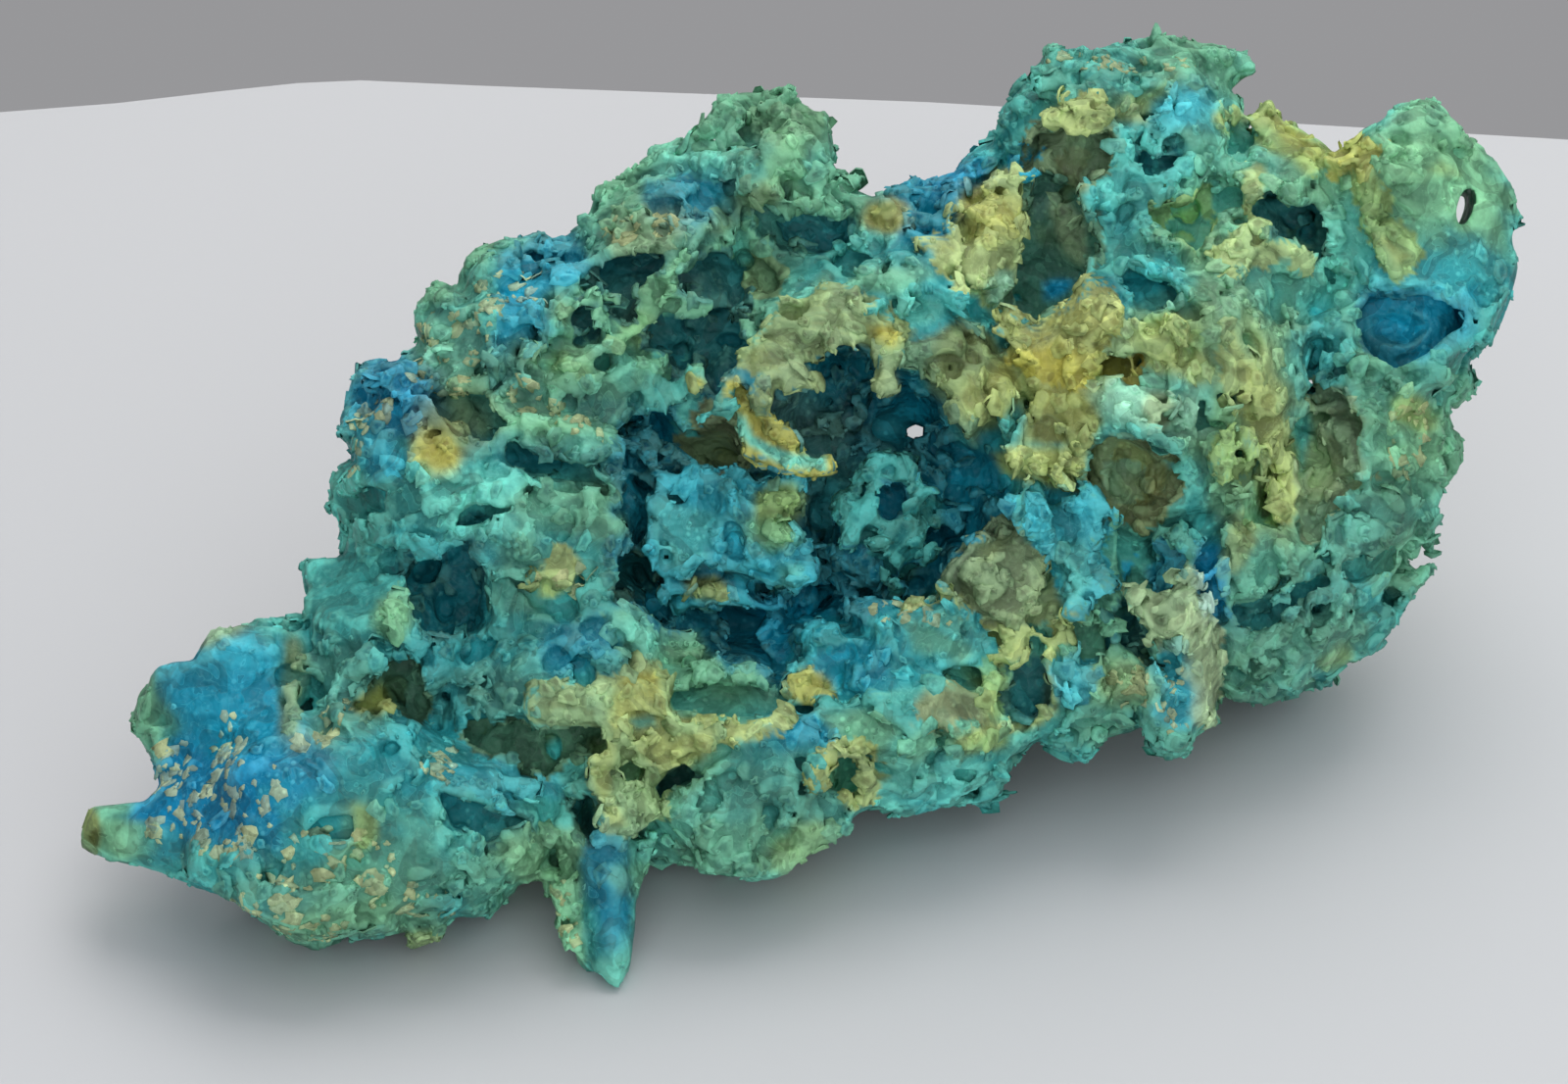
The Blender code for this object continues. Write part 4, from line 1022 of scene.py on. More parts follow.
wander = [clouds(lumps["wander"], seed) for seed in (1, 41, 81)]
fray = clouds(lumps["fray"], 120)
mass = np.full(cells, -9, np.float32)  # how deep each cell lies in the growth, in mm
owner = np.zeros(cells, np.uint8)  # whose colour each cell takes
rimmed = np.zeros(cells, np.float32)  # pale lines round the plates and holes
numberOf = {name: k + 1 for k, name in enumerate({**plates, **holes, **innerHoles})}
calm = calmness()
print("grid", cells)
shapeBody()
skin = frontDepth(fronts["smooth"])
followSilhouette(skin)
openGreatHollow()
openSunk(hollows, skin, blends["hollows"])
print("body and its great hollow")
terrace(*terraces["body"])
for name, (rise, thick, ragged, outline) in plates.items():
    plate(name, outline, rise, thick, edges["ragged"] * ragged, skin)
terrace(*terraces["plates"])
print("plates")
for name, (deep, ragged, outline) in holes.items():
    hole(name, outline, deep, edges["ragged"] * ragged, skin)
hollowFloor = frontDepth(fronts["close"])
for name, (deep, ragged, outline) in innerHoles.items():
    hole(name, outline, deep, edges["ragged"] * ragged, hollowFloor)
openSunk(pits, hollowFloor, blends["pits"], bend=0.5)
for form in windows.values():
    carve(ball(*form, bend=0.3), blends["windows"])
openBubbles()
print("holes")
terrace(*terraces["fine"])
mass += (sugar["least"] + sugar["more"] * calm[:, :, None]) * cloud(sugar["size"], 500)
trimOutline()
height = middle[2] + ticks[1][None, :, None] * upAxis[2] + ticks[2][None, None, :] * outAxis[2]
mass = np.minimum(mass, height)  # nothing reaches under the floor
points, quads = meshFromMass()
print("surface", len(points), len(quads))


# Colours as they show, from 0 to 255
shades = {
    # darkTeal, blackGreen and darkOlive are mostly used as painted shade in holes, recesses and under
    # overhangs
    "teal": (58, 149, 144), "lightTeal": (96, 184, 168), "darkTeal": (16, 88, 100),
    "deepBlue": (14, 96, 120), "blue": (4, 138, 170), "strongBlue": (0, 132, 178),
    "skyBlue": (50, 164, 182), "tealBlue": (36, 146, 156), "green": (96, 154, 122),
    "lightGreen": (120, 178, 132), "yellowGreen": (148, 172, 96), "cream": (168, 176, 104),
    "paleCream": (186, 192, 138), "gold": (176, 166, 64), "deepGold": (150, 130, 30),
    "olive": (112, 122, 70), "darkOlive": (74, 92, 58), "tan": (140, 146, 102),
    "mint": (150, 204, 174), "greyGreen": (92, 148, 124), "brown": (116, 116, 68),
    # caveBlue and hollowBlue also serve as a painted glow in the hollows, over their own deeper blue
    "blackGreen": (26, 66, 62), "sage": (128, 160, 112), "caveBlue": (20, 114, 134),
    "hollowBlue": (10, 114, 138),
}

# colour, strength, softness in mm, then along, up, half width, half height, turn
patches = [
    ("tealBlue", 0.8, 5, -38, -20, 11, 7, -5), ("teal", 0.7, 5, -38, -27, 12, 5),
    ("greyGreen", 0.8, 3, -38, -31, 11, 3), ("green", 0.6, 4, -28, -28, 8, 4),
    ("strongBlue", 0.95, 2.5, -48.5, -20.5, 6.5, 4.5, -15), ("strongBlue", 0.9, 2, -52, -23.5, 3, 2),
    ("strongBlue", 0.6, 3, -42, -18, 4, 4), ("blue", 0.9, 2.5, -46.3, -12.3, 5.5, 5),
    ("skyBlue", 0.6, 2, -45.5, -9, 3, 2), ("green", 0.9, 1.2, -53, -15, 1.6, 4.5, 15),
    ("olive", 0.8, 0.8, -40.8, -11.5, 1.1, 4), ("cream", 0.6, 1, -47, -7.2, 3, 1, 20),
    ("lightGreen", 0.9, 1.2, -54.8, -24.6, 2.0, 1.5, -15), ("olive", 1, 0.5, -57.6, -23.4, 0.9, 2.3),
    ("teal", 0.7, 2, -49, -26, 4, 1.5, -15), ("greyGreen", 0.6, 2, -36.5, -12, 3.5, 5),
    ("teal", 0.9, 3, -36.5, -5, 4, 4), ("lightGreen", 0.9, 1.5, -32.6, -6, 1.6, 2.0),
    ("teal", 0.8, 3, -32, 5, 6, 5), ("strongBlue", 0.95, 1.8, -31.5, 12.5, 2.8, 3),
    ("blue", 0.7, 2, -34, 8, 2, 4), ("gold", 0.9, 1.2, -29, 8, 1.8, 2.1),
    ("brown", 0.8, 1.2, -26.5, 10.8, 2.8, 1.8), ("lightTeal", 0.7, 2.5, -25, 3, 6, 3),
    ("lightTeal", 0.6, 2, -27.8, 17, 3.5, 3), ("teal", 0.7, 3, -23, 19, 5, 5),
    ("blue", 0.85, 2.5, -19.5, 23, 4, 2.6, 10), ("blue", 0.8, 2, -22, 15, 2, 4),
    ("green", 0.8, 3, -17.5, 12, 6, 3.5), ("lightGreen", 0.6, 1.5, -20, 10, 3, 1.5, -20),
    ("yellowGreen", 0.6, 2, -14.5, 16.5, 4.5, 1.5, 20), ("teal", 0.8, 2, -9.5, 12, 3.5, 2.5, -20),
    # painted shadow: the second darkTeal patch on this line, at along -19 and up 6.5, lies under the green
    # nodule's overhang
    ("darkTeal", 0.7, 2, -16, 11.5, 3, 1.2), ("darkTeal", 0.8, 2, -19, 6.5, 5, 1.6, -10),
    ("blue", 0.85, 2, -8.5, 29, 3.0, 1.8), ("cream", 0.3, 1.5, -12, 25.6, 2.6, 1.6),
    # painted shade: the soft darkTeal patch on this line darkens the first peak
    ("green", 0.6, 2, 0, 34, 4, 3), ("darkTeal", 0.35, 3, 0, 32.5, 5.5, 4),
    ("yellowGreen", 0.2, 2, 1, 35, 3, 1.5), ("green", 0.8, 2, 4.5, 28.5, 3, 3.5),
    ("olive", 0.6, 1.5, -2.5, 29, 1.8, 1.2), ("blue", 0.95, 2.5, 13, 28, 4.5, 3.5, 20),
    ("strongBlue", 0.6, 2, 15, 31, 2.5, 1.5, 20), ("gold", 0.9, 1, 8.2, 26.8, 1.8, 1.4),
    ("tealBlue", 0.8, 2, 10, 22, 5, 2), ("lightTeal", 0.7, 1.2, 11, 19.4, 3, 1.4),
    ("lightGreen", 0.7, 1.5, 8.5, 22.2, 3, 1), ("teal", 0.8, 3, 26, 39, 7, 2.5),
    ("green", 0.8, 2.5, 35, 39.5, 4, 2.5), ("skyBlue", 0.85, 2, 33, 35.5, 3, 2),
    ("tealBlue", 0.9, 3, 29, 30, 4.5, 5), ("lightTeal", 0.5, 3, 29, 30, 4, 4),
    ("lightTeal", 0.5, 2, 36, 31, 2, 4), ("green", 0.8, 2, 33, 26.5, 3, 2),
    ("tealBlue", 0.7, 2, 30, 22, 4, 2.5), ("greyGreen", 0.7, 2, 38, 20, 2.5, 4),
    ("green", 0.7, 2, 35, 20, 2, 4), ("lightTeal", 0.7, 3, 46, 21, 4, 6),
    ("tealBlue", 0.7, 3, 44.5, 16, 3, 4), ("green", 0.9, 3, 55, 31, 6, 5), ("green", 0.8, 2, 44, 28.5, 3, 2),
    ("green", 0.8, 3, 58.5, 26, 3, 5), ("lightGreen", 0.6, 3, 55, 30, 7, 6),
    ("tealBlue", 0.8, 3, 55, 21.8, 5, 2.6), ("skyBlue", 0.6, 2, 50.5, 21.5, 3, 1.5),
    ("teal", 0.8, 3, 55, 13.5, 4, 4), ("green", 0.9, 3, 53, 8, 4.5, 6),
    ("yellowGreen", 0.8, 1.5, 52, 10.5, 2, 2), ("lightGreen", 0.6, 1.5, 52.5, 7, 2, 1.5),
    ("greyGreen", 0.7, 3, 50, 0, 5, 4), ("green", 0.7, 2, 52, -2, 2.5, 3),
    # painted shadow: the darkTeal patch at along 42 on this line lies under the keel ledge
    ("greyGreen", 0.85, 3, 43.5, -8, 8, 4, 15), ("darkTeal", 0.6, 2, 42, -5.5, 4, 1.5, 15),
    ("yellowGreen", 0.6, 1.2, 46.5, -9.5, 3, 1, 20), ("teal", 0.7, 2, 40.5, -2, 3, 2.5),
    ("lightGreen", 0.7, 1.5, 38, 4, 4, 2.5), ("cream", 0.7, 1.5, 38, 1.5, 2, 1),
    ("sage", 0.75, 3, 38.5, 13, 4.5, 11, 8), ("cream", 0.6, 1.5, 40.2, 10, 2, 8, 12),
    ("olive", 0.8, 1.5, 14.5, 14, 3.6, 4.6), ("gold", 0.75, 1.2, 22, 13.5, 4.5, 2.4),
    ("sage", 0.5, 3, 31, 17, 6, 4), ("lightGreen", 0.6, 2, 35.5, 8, 2, 4),
    ("teal", 0.6, 1.2, 34, 12, 1.5, 2), ("tan", 0.7, 1.5, 29.5, 4.5, 2.5, 2),
    ("yellowGreen", 0.7, 1.5, 31.5, 16.4, 3, 2), ("cream", 0.7, 1.2, 32.5, 14.5, 3, 1, -10),
    ("mint", 0.85, 1.5, 29.5, 11.3, 4, 1.8, -15), ("paleCream", 0.6, 0.8, 31, 11, 1.4, 1.2),
    ("strongBlue", 0.95, 1, 35.6, -2.6, 1.4, 2.8, 10), ("skyBlue", 0.9, 1.2, 32.2, -12.4, 1.9, 3.2),
    ("lightTeal", 0.8, 1, 32, -17, 1.6, 1), ("lightGreen", 0.7, 1.5, 28, -12, 2.6, 2),
    ("cream", 0.4, 1.5, 28.5, -11.5, 1.6, 1.2), ("green", 0.7, 1.5, 26.5, -15.3, 3, 1.4, 10),
    ("teal", 0.7, 1.5, 22, -16, 2.5, 1.5), ("green", 0.6, 2, 27, -7.5, 3, 1.5),
    ("lightTeal", 0.6, 2.5, 13, -20, 5, 2), ("lightTeal", 0.8, 1.5, 10, -17.5, 2.6, 2.4),
    ("lightGreen", 0.7, 1.5, 15, -16, 3, 1, 10), ("blue", 0.9, 1.5, 1.5, -15.7, 4.2, 1.5, 8),
    # painted shade: the soft darkTeal patch on this line darkens the lower lip
    ("green", 0.5, 3, -1, -21, 6, 4), ("darkTeal", 0.25, 3, -1, -21, 6, 4),
    ("green", 0.7, 2.5, -4, -24.5, 5, 2.6), ("yellowGreen", 0.5, 2, 2, -25, 3, 2),
    ("green", 0.8, 2, -5.5, -12.9, 4.5, 1.3), ("greyGreen", 0.5, 1, -3.5, -13.8, 4, 0.8),
    ("teal", 0.7, 3, -18, -5.5, 5, 3.5), ("blue", 0.85, 2, -17.5, -8.6, 4, 2.6),
    ("greyGreen", 0.7, 2.5, -24, -12, 4, 3), ("green", 0.6, 2, -22, -4, 3, 3),
    ("lightGreen", 0.7, 1.5, -14, 2, 1.5, 2.5), ("green", 0.7, 2, -19, 3, 4, 2.5),
    ("yellowGreen", 0.5, 2, -19, -26, 4, 1.6), ("green", 0.6, 2, -22, -26, 4, 2),
    ("blue", 0.9, 1.5, -14.3, -29.5, 1.8, 4.2, 5), ("lightTeal", 0.85, 1.2, -13.6, -36, 1.5, 1.8),
    ("lightGreen", 0.8, 1, -18, -31.5, 1.3, 3.6, 10), ("yellowGreen", 0.8, 0.8, -35, -23.8, 1.3, 1.2),
    ("cream", 0.5, 1, -38.2, -16, 1.4, 0.7), ("lightGreen", 0.5, 1, -12, -28, 2, 1.4),
    ("cream", 0.6, 0.8, -30, -33, 1.4, 0.7), ("lightGreen", 0.6, 1.5, -36, -31.2, 5, 1.2, 5),
    # painted shade: the soft darkTeal and deepBlue patches below darken the rise, the saddle, the face left
    # of the great hollow, the spur and the left brow, where they lie in shade
    ("darkTeal", 0.5, 3, -10, 26, 5, 3, 30), ("darkTeal", 0.35, 3, 11, 26, 6, 3),
    ("darkTeal", 0.45, 3, -17, -8.5, 5, 3), ("darkTeal", 0.4, 3, -24, -12, 4, 3),
    ("darkTeal", 0.45, 1.5, -14.5, -29, 2, 4), ("deepBlue", 0.4, 2, -31.5, 12.5, 2.5, 3),
]

# colour, strength, softness in mm, outline or the name of a plate or hole
tints = [
    ("hollowBlue", 0.92, 0.75, hollowEdge),
    # painted shade: darkTeal under the teal flap, in the left of the great hollow
    ("darkTeal", 0.5, 3, [(-14, 6), (-8, 10), (-8, 2), (-12, -2), (-15, 0)]),
    ("olive", 0.35, 2, [(-3, 12), (3, 14), (6, 11), (4, 7), (-1, 8)]),
    # painted shadow: the darkTeal on this line lies just under the cream arch
    ("darkTeal", 0.8, 1.5, [(2, 16.5), (7, 16.5), (8.5, 14), (6, 11), (2, 12)]),
    ("blue", 0.75, 1.2, [(-2, -4.5), (2.5, -2), (3.5, -5), (3, -8.5), (0, -9.8), (-2, -9)]),
    ("tealBlue", 0.75, 1.2, [(1, -6), (7, -5.5), (6, -8), (3, -10), (0.5, -10)]),
    ("skyBlue", 0.9, 0.8, "blueTongue"), ("lightTeal", 0.5, 1.5, [(-10.5, 3), (-6, 2), (-7, -2), (-10, -2)]),
    ("yellowGreen", 0.9, 0.8, [
        (-2.3, 4.2), (0.4, 5), (1.8, 4.2), (1.5, 2.8), (0.5, 1.4), (0, 0), (-2, 0.6)]),
    ("lightGreen", 0.7, 1.2, [(-3, 2), (0.5, 1.5), (1, 0), (-1, -0.5), (-3, 0.6)]),
    ("lightTeal", 0.7, 0.8, [(-0.6, -1.6), (1.8, -1.8), (1.8, -3), (0, -3.9), (-0.6, -2.6)]),
    ("cream", 0.9, 0.6, [(-7.9, -3.6), (-5.6, -3), (-4, -4), (-4.6, -4.9), (-7.6, -4.6)]),
    ("teal", 0.9, 0.7, "tealTongue"), ("olive", 0.6, 0.5, "tanDome"), ("tan", 0.5, 0.5, "tanDome"),
    ("olive", 0.3, 1.5, [(21, 0), (22.5, -1.6), (23.4, -5), (21.8, -7), (20, -7), (21, -3)]),
    ("cream", 0.9, 0.6, "domeNet"), ("olive", 0.6, 0.7, "creamArch"), ("cream", 0.45, 0.5, "creamArch"),
    ("gold", 0.85, 0.8, [(6.8, 18), (8.6, 18.6), (10.4, 17.6), (9, 16.2), (7.6, 16.8)]),
    ("gold", 0.95, 0.5, "ochreSpur"),
    ("lightTeal", 0.95, 0.35, [
        (-4.6, 11.2), (-3.4, 10.2), (-2.7, 8.6), (-1.3, 7.7), (0.6, 7.1), (3.6, 7.1), (3.5, 6.0), (0.4, 6.0),
        (-1.6, 6.9), (-3, 7.9), (-4, 9.6), (-5.4, 10.8)]),
    ("teal", 0.85, 0.8, "tealFlap"),
    ("lightTeal", 0.5, 0.6, [(-9.5, 12), (-7, 12.5), (-7.5, 9), (-8.5, 8.5)]),
    ("gold", 0.85, 0.5, [(-8, 13.6), (-6.6, 13.4), (-6, 12.5), (-7, 12.4), (-7.8, 13)]),
    ("brown", 0.9, 0.6, "brownPit"), ("lightGreen", 0.5, 1, "lipCrest"),
    ("lightTeal", 0.6, 1, [(-14.6, -6.3), (-11.5, -6.8), (-10, -8.3), (-12, -9.3), (-14.4, -8)]),
    ("olive", 0.6, 0.5, "fringe"), ("cream", 0.4, 0.5, "fringe"),
    ("gold", 0.6, 1.2, [(-13.5, -11), (-11, -11), (-11, -13.5), (-14, -15)]), ("cream", 0.6, 1, "yellowLip"),
    ("cream", 0.8, 1.2, [
        (-13.5, -13), (-10.5, -13), (-10, -16.5), (-6, -15.5), (-7, -18), (-10.5, -19.5), (-12, -17)]),
    ("cream", 0.7, 0.6, [
        (-15.9, -17), (-14.6, -17), (-14.8, -21.5), (-13, -23.8), (-14.8, -23.4), (-16, -20)]),
    ("lightTeal", 0.8, 0.4, [(-12.9, -14.8), (-11.3, -14.4), (-11, -15.2), (-12.4, -15.5)]),
    ("cream", 0.95, 0.4, "creamCrest"), ("gold", 0.9, 0.7, "goldBump"), ("tealBlue", 0.9, 1.2, "ridge"),
    ("green", 0.7, 1.2, [(10, -6), (14, -7), (16.5, -9), (15, -10.5), (11, -9)]),
    ("blue", 0.6, 1.2, [(2, -9.5), (6, -8.2), (9, -8.8), (9, -11.5), (5, -12)]),
    ("lightTeal", 0.8, 0.6, [(12.8, -5.6), (14.4, -5.8), (15.6, -7), (14, -7.6), (12.8, -6.8)]),
    ("tan", 0.85, 0.6, "tanPlate"),
    ("lightGreen", 0.7, 1, [(3, -14), (8, -13.5), (10, -15.5), (8, -18), (4, -16)]),
    ("yellowGreen", 0.7, 1.2, [(15, -10.5), (18.8, -10), (19, -13.5), (17.2, -14.6), (16, -12.5)]),
    ("cream", 0.85, 0.5, [
        (22, -9.7), (22.9, -11), (22.8, -14), (21, -15.2), (17.5, -15.4), (14.5, -17), (14.2, -16.4),
        (17, -14.6), (20.4, -14.6), (22, -13.4)]),
    ("yellowGreen", 0.8, 0.8, [(14.5, -17.2), (18.5, -16.8), (18.6, -15.6), (16, -15.8)]),
    ("gold", 0.7, 0.7, "yellowRing"),
    ("cream", 0.6, 0.5, [(2.6, -18.5), (4.2, -17.3), (4, -20.3), (2.9, -20)]),
    ("green", 0.8, 0.5, "ringCup"), ("skyBlue", 0.85, 0.6, "bluePlate"), ("skyBlue", 0.9, 0.7, "tealStrip"),
    ("lightTeal", 0.5, 1, [(22, 0), (25, 0), (25.5, -3), (24, -5)]),
    ("cream", 0.95, 0.6, [
        (17, 7.5), (19.5, 8), (25.2, 8), (25, 5.6), (23.6, 4.8), (22.1, 4.4), (19.8, 5.2), (18, 5.9)]),
    ("olive", 0.95, 0.9, [(19.5, 8.4), (20.5, 12.8), (24.5, 12.7), (26.4, 10), (25.6, 8.2), (22, 8)]),
    ("gold", 0.15, 0.9, [(19.5, 8.4), (20.5, 12.8), (24.5, 12.7), (26.4, 10), (25.6, 8.2), (22, 8)]),
    ("gold", 0.8, 0.6, "goldWedge"),
    ("cream", 0.5, 1, [(22, 18.5), (25.5, 20.5), (27, 19.5), (26, 17), (23, 16.5)]),
    ("cream", 0.9, 0.6, "yellowSlab"), ("gold", 0.5, 1.5, [(15.5, 29), (20, 28), (19.5, 25), (14.5, 25)]),
    ("mint", 0.9, 0.5, [(16.6, 21.5), (17.9, 23.4), (19.2, 22.8), (19, 20), (18, 19.3), (16.8, 20)]),
    ("olive", 0.75, 0.8, "oliveWall"),
    ("cream", 0.4, 1.5, [(13.6, 10), (17.4, 10), (20, 12.5), (16, 14), (13.6, 13)]),
    ("skyBlue", 0.8, 0.5, [(15.8, 9), (17.4, 9), (17, 8), (15.9, 7.9)]), ("cream", 0.95, 0.5, "creamTab"),
    ("cream", 0.7, 0.6, [(27, 35.8), (30.5, 36.4), (30, 34.6), (27.4, 34.6)]),
    ("yellowGreen", 0.7, 0.6, [(27, 36.6), (30, 37), (32.4, 38.6), (31.5, 36.9), (29.5, 35.8)]),
    # painted shadow: brown under the cream tab and dark olive in the slot, over their own olive-brown
    ("brown", 0.85, 0.8, "underTheTab"), ("darkOlive", 0.8, 0.8, "slot"),
    ("tan", 0.5, 1, [(22.6, 28), (25.2, 26), (25, 22.5), (22.8, 24)]),
    ("strongBlue", 0.9, 0.6, [
        (21.5, 21.7), (22.4, 22.1), (24.1, 22.1), (23.5, 21), (22.8, 20.2), (21.7, 20)]),
    ("blue", 0.9, 0.4, "crestEye"), ("yellowGreen", 0.7, 1, "greenHollow"),
    # painted shade: darkTeal and blackGreen in the peak's slots, the dip and its deepest part
    ("darkTeal", 0.85, 0.4, "peakSlots"), ("darkTeal", 0.8, 0.5, "dip"), ("blackGreen", 0.8, 0.4, "dipDark"),
    ("yellowGreen", 0.85, 0.6, "crestFlap"),
    ("gold", 0.5, 1, [(40.5, 34.8), (45.5, 32.6), (45, 31), (42, 32.5)]),
    ("cream", 0.6, 0.8, [(36, 35), (41, 36.3), (41, 34.8), (38, 34.4)]), ("gold", 0.8, 0.6, "goldDome"),
    ("yellowGreen", 0.85, 0.7, "yellowRun"),
    ("cream", 0.5, 0.5, [(49, 25), (50.4, 24), (51, 22.6), (52.4, 23.6), (51, 24), (50, 25)]),
    ("lightGreen", 0.6, 0.8, "lobeLeafTop"),
    ("yellowGreen", 0.5, 0.8, [(52, 30.2), (56.4, 30.2), (55, 31.6)]), ("cream", 0.75, 0.6, "band"),
    ("cream", 0.7, 0.6, "bandLump"), ("cream", 0.6, 0.8, "yellowKnobs"), ("deepGold", 0.95, 0.5, "goldPit"),
    ("brown", 0.95, 0.9, "cave"), ("brown", 0.8, 0.5, "caveDots"), ("tan", 0.7, 0.5, "nicheFoot"),
    # painted shade: darkTeal in the hole low on the belly
    ("darkTeal", 0.6, 0.5, "lowerDark"), ("cream", 0.7, 0.8, "wallRidge"),
    ("yellowGreen", 0.8, 0.6, "ringWall"), ("green", 0.7, 0.4, "ring"), ("green", 0.6, 1, "keelLedge"),
    ("cream", 0.5, 0.5, [(36.8, 1.4), (38.5, 1.5), (39, 0), (37.6, -2.6), (36.6, -2)]),
    ("deepBlue", 0.95, 0.5, "bluePocket"),
    ("blue", 0.6, 1.5, [(47.5, 20.8), (57, 21), (57.5, 17), (53, 14.5)]), ("tan", 0.8, 0.7, "rightNiche"),
    ("tan", 0.5, 1, [(43.8, 8), (46, 6.5), (46, 4), (44, 4)]), ("paleCream", 0.6, 0.5, "columnCobbles"),
    ("blue", 0.9, 0.5, "columnNiche"),
    ("tealBlue", 0.5, 0.8, [(31.5, -8.6), (33.4, -8.4), (33.4, -10), (31.6, -10)]),
    # painted shade: darkTeal in the column pit and, on the next line, in the rim pit
    ("darkTeal", 0.8, 0.5, "columnPit"), ("green", 0.6, 0.7, "stripHollow"),
    ("darkTeal", 0.85, 0.5, "rimPit"), ("cream", 0.9, 0.5, "creamSpot"), ("cream", 0.12, 0.8, "browCobbles"),
    ("cream", 0.2, 0.6, "riseCobbles"), ("lightGreen", 0.6, 0.6, "riseBridge"),
    ("lightGreen", 0.6, 0.6, "peakLeaf"), ("lightTeal", 0.5, 0.6, "peakCrest"),
    # painted shade: dark olive in the slit and the olive hole, over their own olive
    ("skyBlue", 0.7, 1, "bellyShelf"), ("darkOlive", 0.9, 0.6, "slit"), ("darkOlive", 0.9, 0.5, "oliveHole"),
    ("gold", 0.5, 0.6, [(-35.2, -13.6), (-33.6, -12.2), (-33, -13.6)]),
    # painted shade: darkTeal and blackGreen here and below darken the left hollow, the holes of the rise,
    # brow and first peak, the lip's holes and the left pit
    ("darkTeal", 0.85, 0.7, "leftHollow"), ("tealBlue", 0.6, 0.5, "bellyHole"),
    ("darkTeal", 0.8, 0.5, "leftOfTheRise"), ("darkTeal", 0.85, 0.5, "inTheRise"),
    ("darkTeal", 0.9, 0.5, "underTheRise"), ("darkTeal", 0.85, 0.3, "brow"),
    ("darkTeal", 0.8, 0.4, "peakRight"), ("darkTeal", 0.5, 0.4, "peakLeft"),
    ("olive", 0.7, 0.4, "peakGreen"), ("blackGreen", 0.85, 0.4, "lipHole"),
    ("blackGreen", 0.8, 0.4, "lipDark"), ("yellowGreen", 0.5, 0.5, "lipDish"),
    ("blackGreen", 0.9, 0.4, "leftPit"),
]


def linear(shade):
    # a shade as light, from 0 to 1
    value = np.array(shade, np.float32) / 255
    return np.where(value <= 0.04045, value / 12.92, ((value + 0.055) / 1.055) ** 2.4).astype(np.float32)


# How the colours lie on the growth
look = {
    "patchSoft": 1.3,  # patches end this much softer than their own figure says
    "patchFray": 0.6,
    "tintFray": 0.7,
    "crispFrom": 0.8,  # tints at least this soft break into patches with clear edges
    "crispNoise": 0.42,
    "crispWidth": 0.16,
    "crispShares": (0.7, 0.3),  # how much stays soft, how much is crisp
    "strayed": 0.35,  # how far colours stray with the bends of the growth
    "ownShare": 0.9,  # how much of its tint a plate or hole takes all over
    "caveInFront": 0.35,  # how far the hollows of the face are painted caveBlue: partly their own deeper blue, partly a painted glow of light in their shade
    "caveBehind": 0.7,  # and how far those round the back are painted hollowBlue, in the same way
    "fade": 5,  # mm over which the face's colours give way behind its fine grain
    "bright": 0.7,
    "paintedHollowLight": (0.5, 0.8, 0.76),  # painted light: hollows painted brighter and more coloured, standing in for light that glows through the clear crystal into their shade
    "rimShare": 0.75,
    "rimLoss": 0.7,  # how much the rims fade in a hollow
    "edgeFrom": 0.5,  # a place this little surrounded starts to count as a sharp edge
    "edgeWidth": 0.16,
}

# (size in mm, share) of the lumps behind the colours
colourLumps = {
    "faceGround": [(14, 0.8), (5, 0.4)],
    "pale": [(6, 0.7), (2.5, 0.5)],
    "yellow": [(7, 0.6), (2.2, 0.6)],
    "patchEdge": [(3.5, 0.6), (1.6, 0.45), (0.8, 0.25)],
    "crisp": [(3.2, 0.8), (1.5, 0.6), (0.8, 0.35)],
    "blotches": [(2.6, 0.7), (1.3, 0.6), (0.8, 0.3)],
}

# how shades run into the ground with an uneven field: times, plus, most
groundRuns = {
    "green": (2, 0.45, 0.95),
    "tealBlue": (-2, -0.7, 0.9),
    "lightTeal": (2.5, -0.6, 0.5),
    "yellowGreen": (3, -2.2, 0.45),
}


def mixed(paint, colour, share):
    return paint + (colour - paint) * share[..., None]


def crisp(share, noise):
    # a soft share broken into patches with clear edges
    broken = (share + look["crispNoise"] * noise - 0.5) / look["crispWidth"] + 0.5
    sharp = np.clip(broken, 0, 1) * (share > 0.03)
    keep, take = look["crispShares"]
    return keep * share + take * sharp


def groundColour(broad, pale, yellow):
    # teal running into green and blue, with none of the listed patches
    paint = np.broadcast_to(linear(shades["teal"]), broad.shape + (3,)).copy()
    for (name, (factor, plus, most)), field in zip(groundRuns.items(), (broad, broad, pale, yellow)):
        paint = mixed(paint, linear(shades[name]), np.clip(field * factor + plus, 0, most))
    return paint


def paintFace():
    # the ground and the patches that show from the front, as one flat map
    paint = groundColour(flatClouds(colourLumps["faceGround"], 600), flatClouds(colourLumps["pale"], 610),
                         flatClouds(colourLumps["yellow"], 620))
    for spot, (name, strength, soft, *oval) in enumerate(patches):
        inside = (1 - ovalDistance(flatAlong, flatUp, *oval)) * min(oval[2:4])
        soft = look["patchSoft"] * soft
        share = np.clip((inside + look["patchFray"] * soft * flatFray) / soft + 0.5, 0, 1)
        share = share * share * (3 - 2 * share)
        noise = np.roll(grainy, 41 * spot, (0, 1))  # each patch breaks up its own way
        paint = mixed(paint, linear(shades[name]), strength * crisp(share, noise))
    return paint


def tintShare(soft, outline):
    # how much of a tint lies over each part of the face
    if isinstance(outline, str):
        outline = {**plates, **holes, **innerHoles}[outline][-1]
    inside = insideOutline(outline, flatAlong, flatUp)
    share = np.clip((inside + look["tintFray"] * flatFray * min(1, soft)) / soft + 0.5, 0, 1)
    return crisp(share, grainy) if soft >= look["crispFrom"] else share


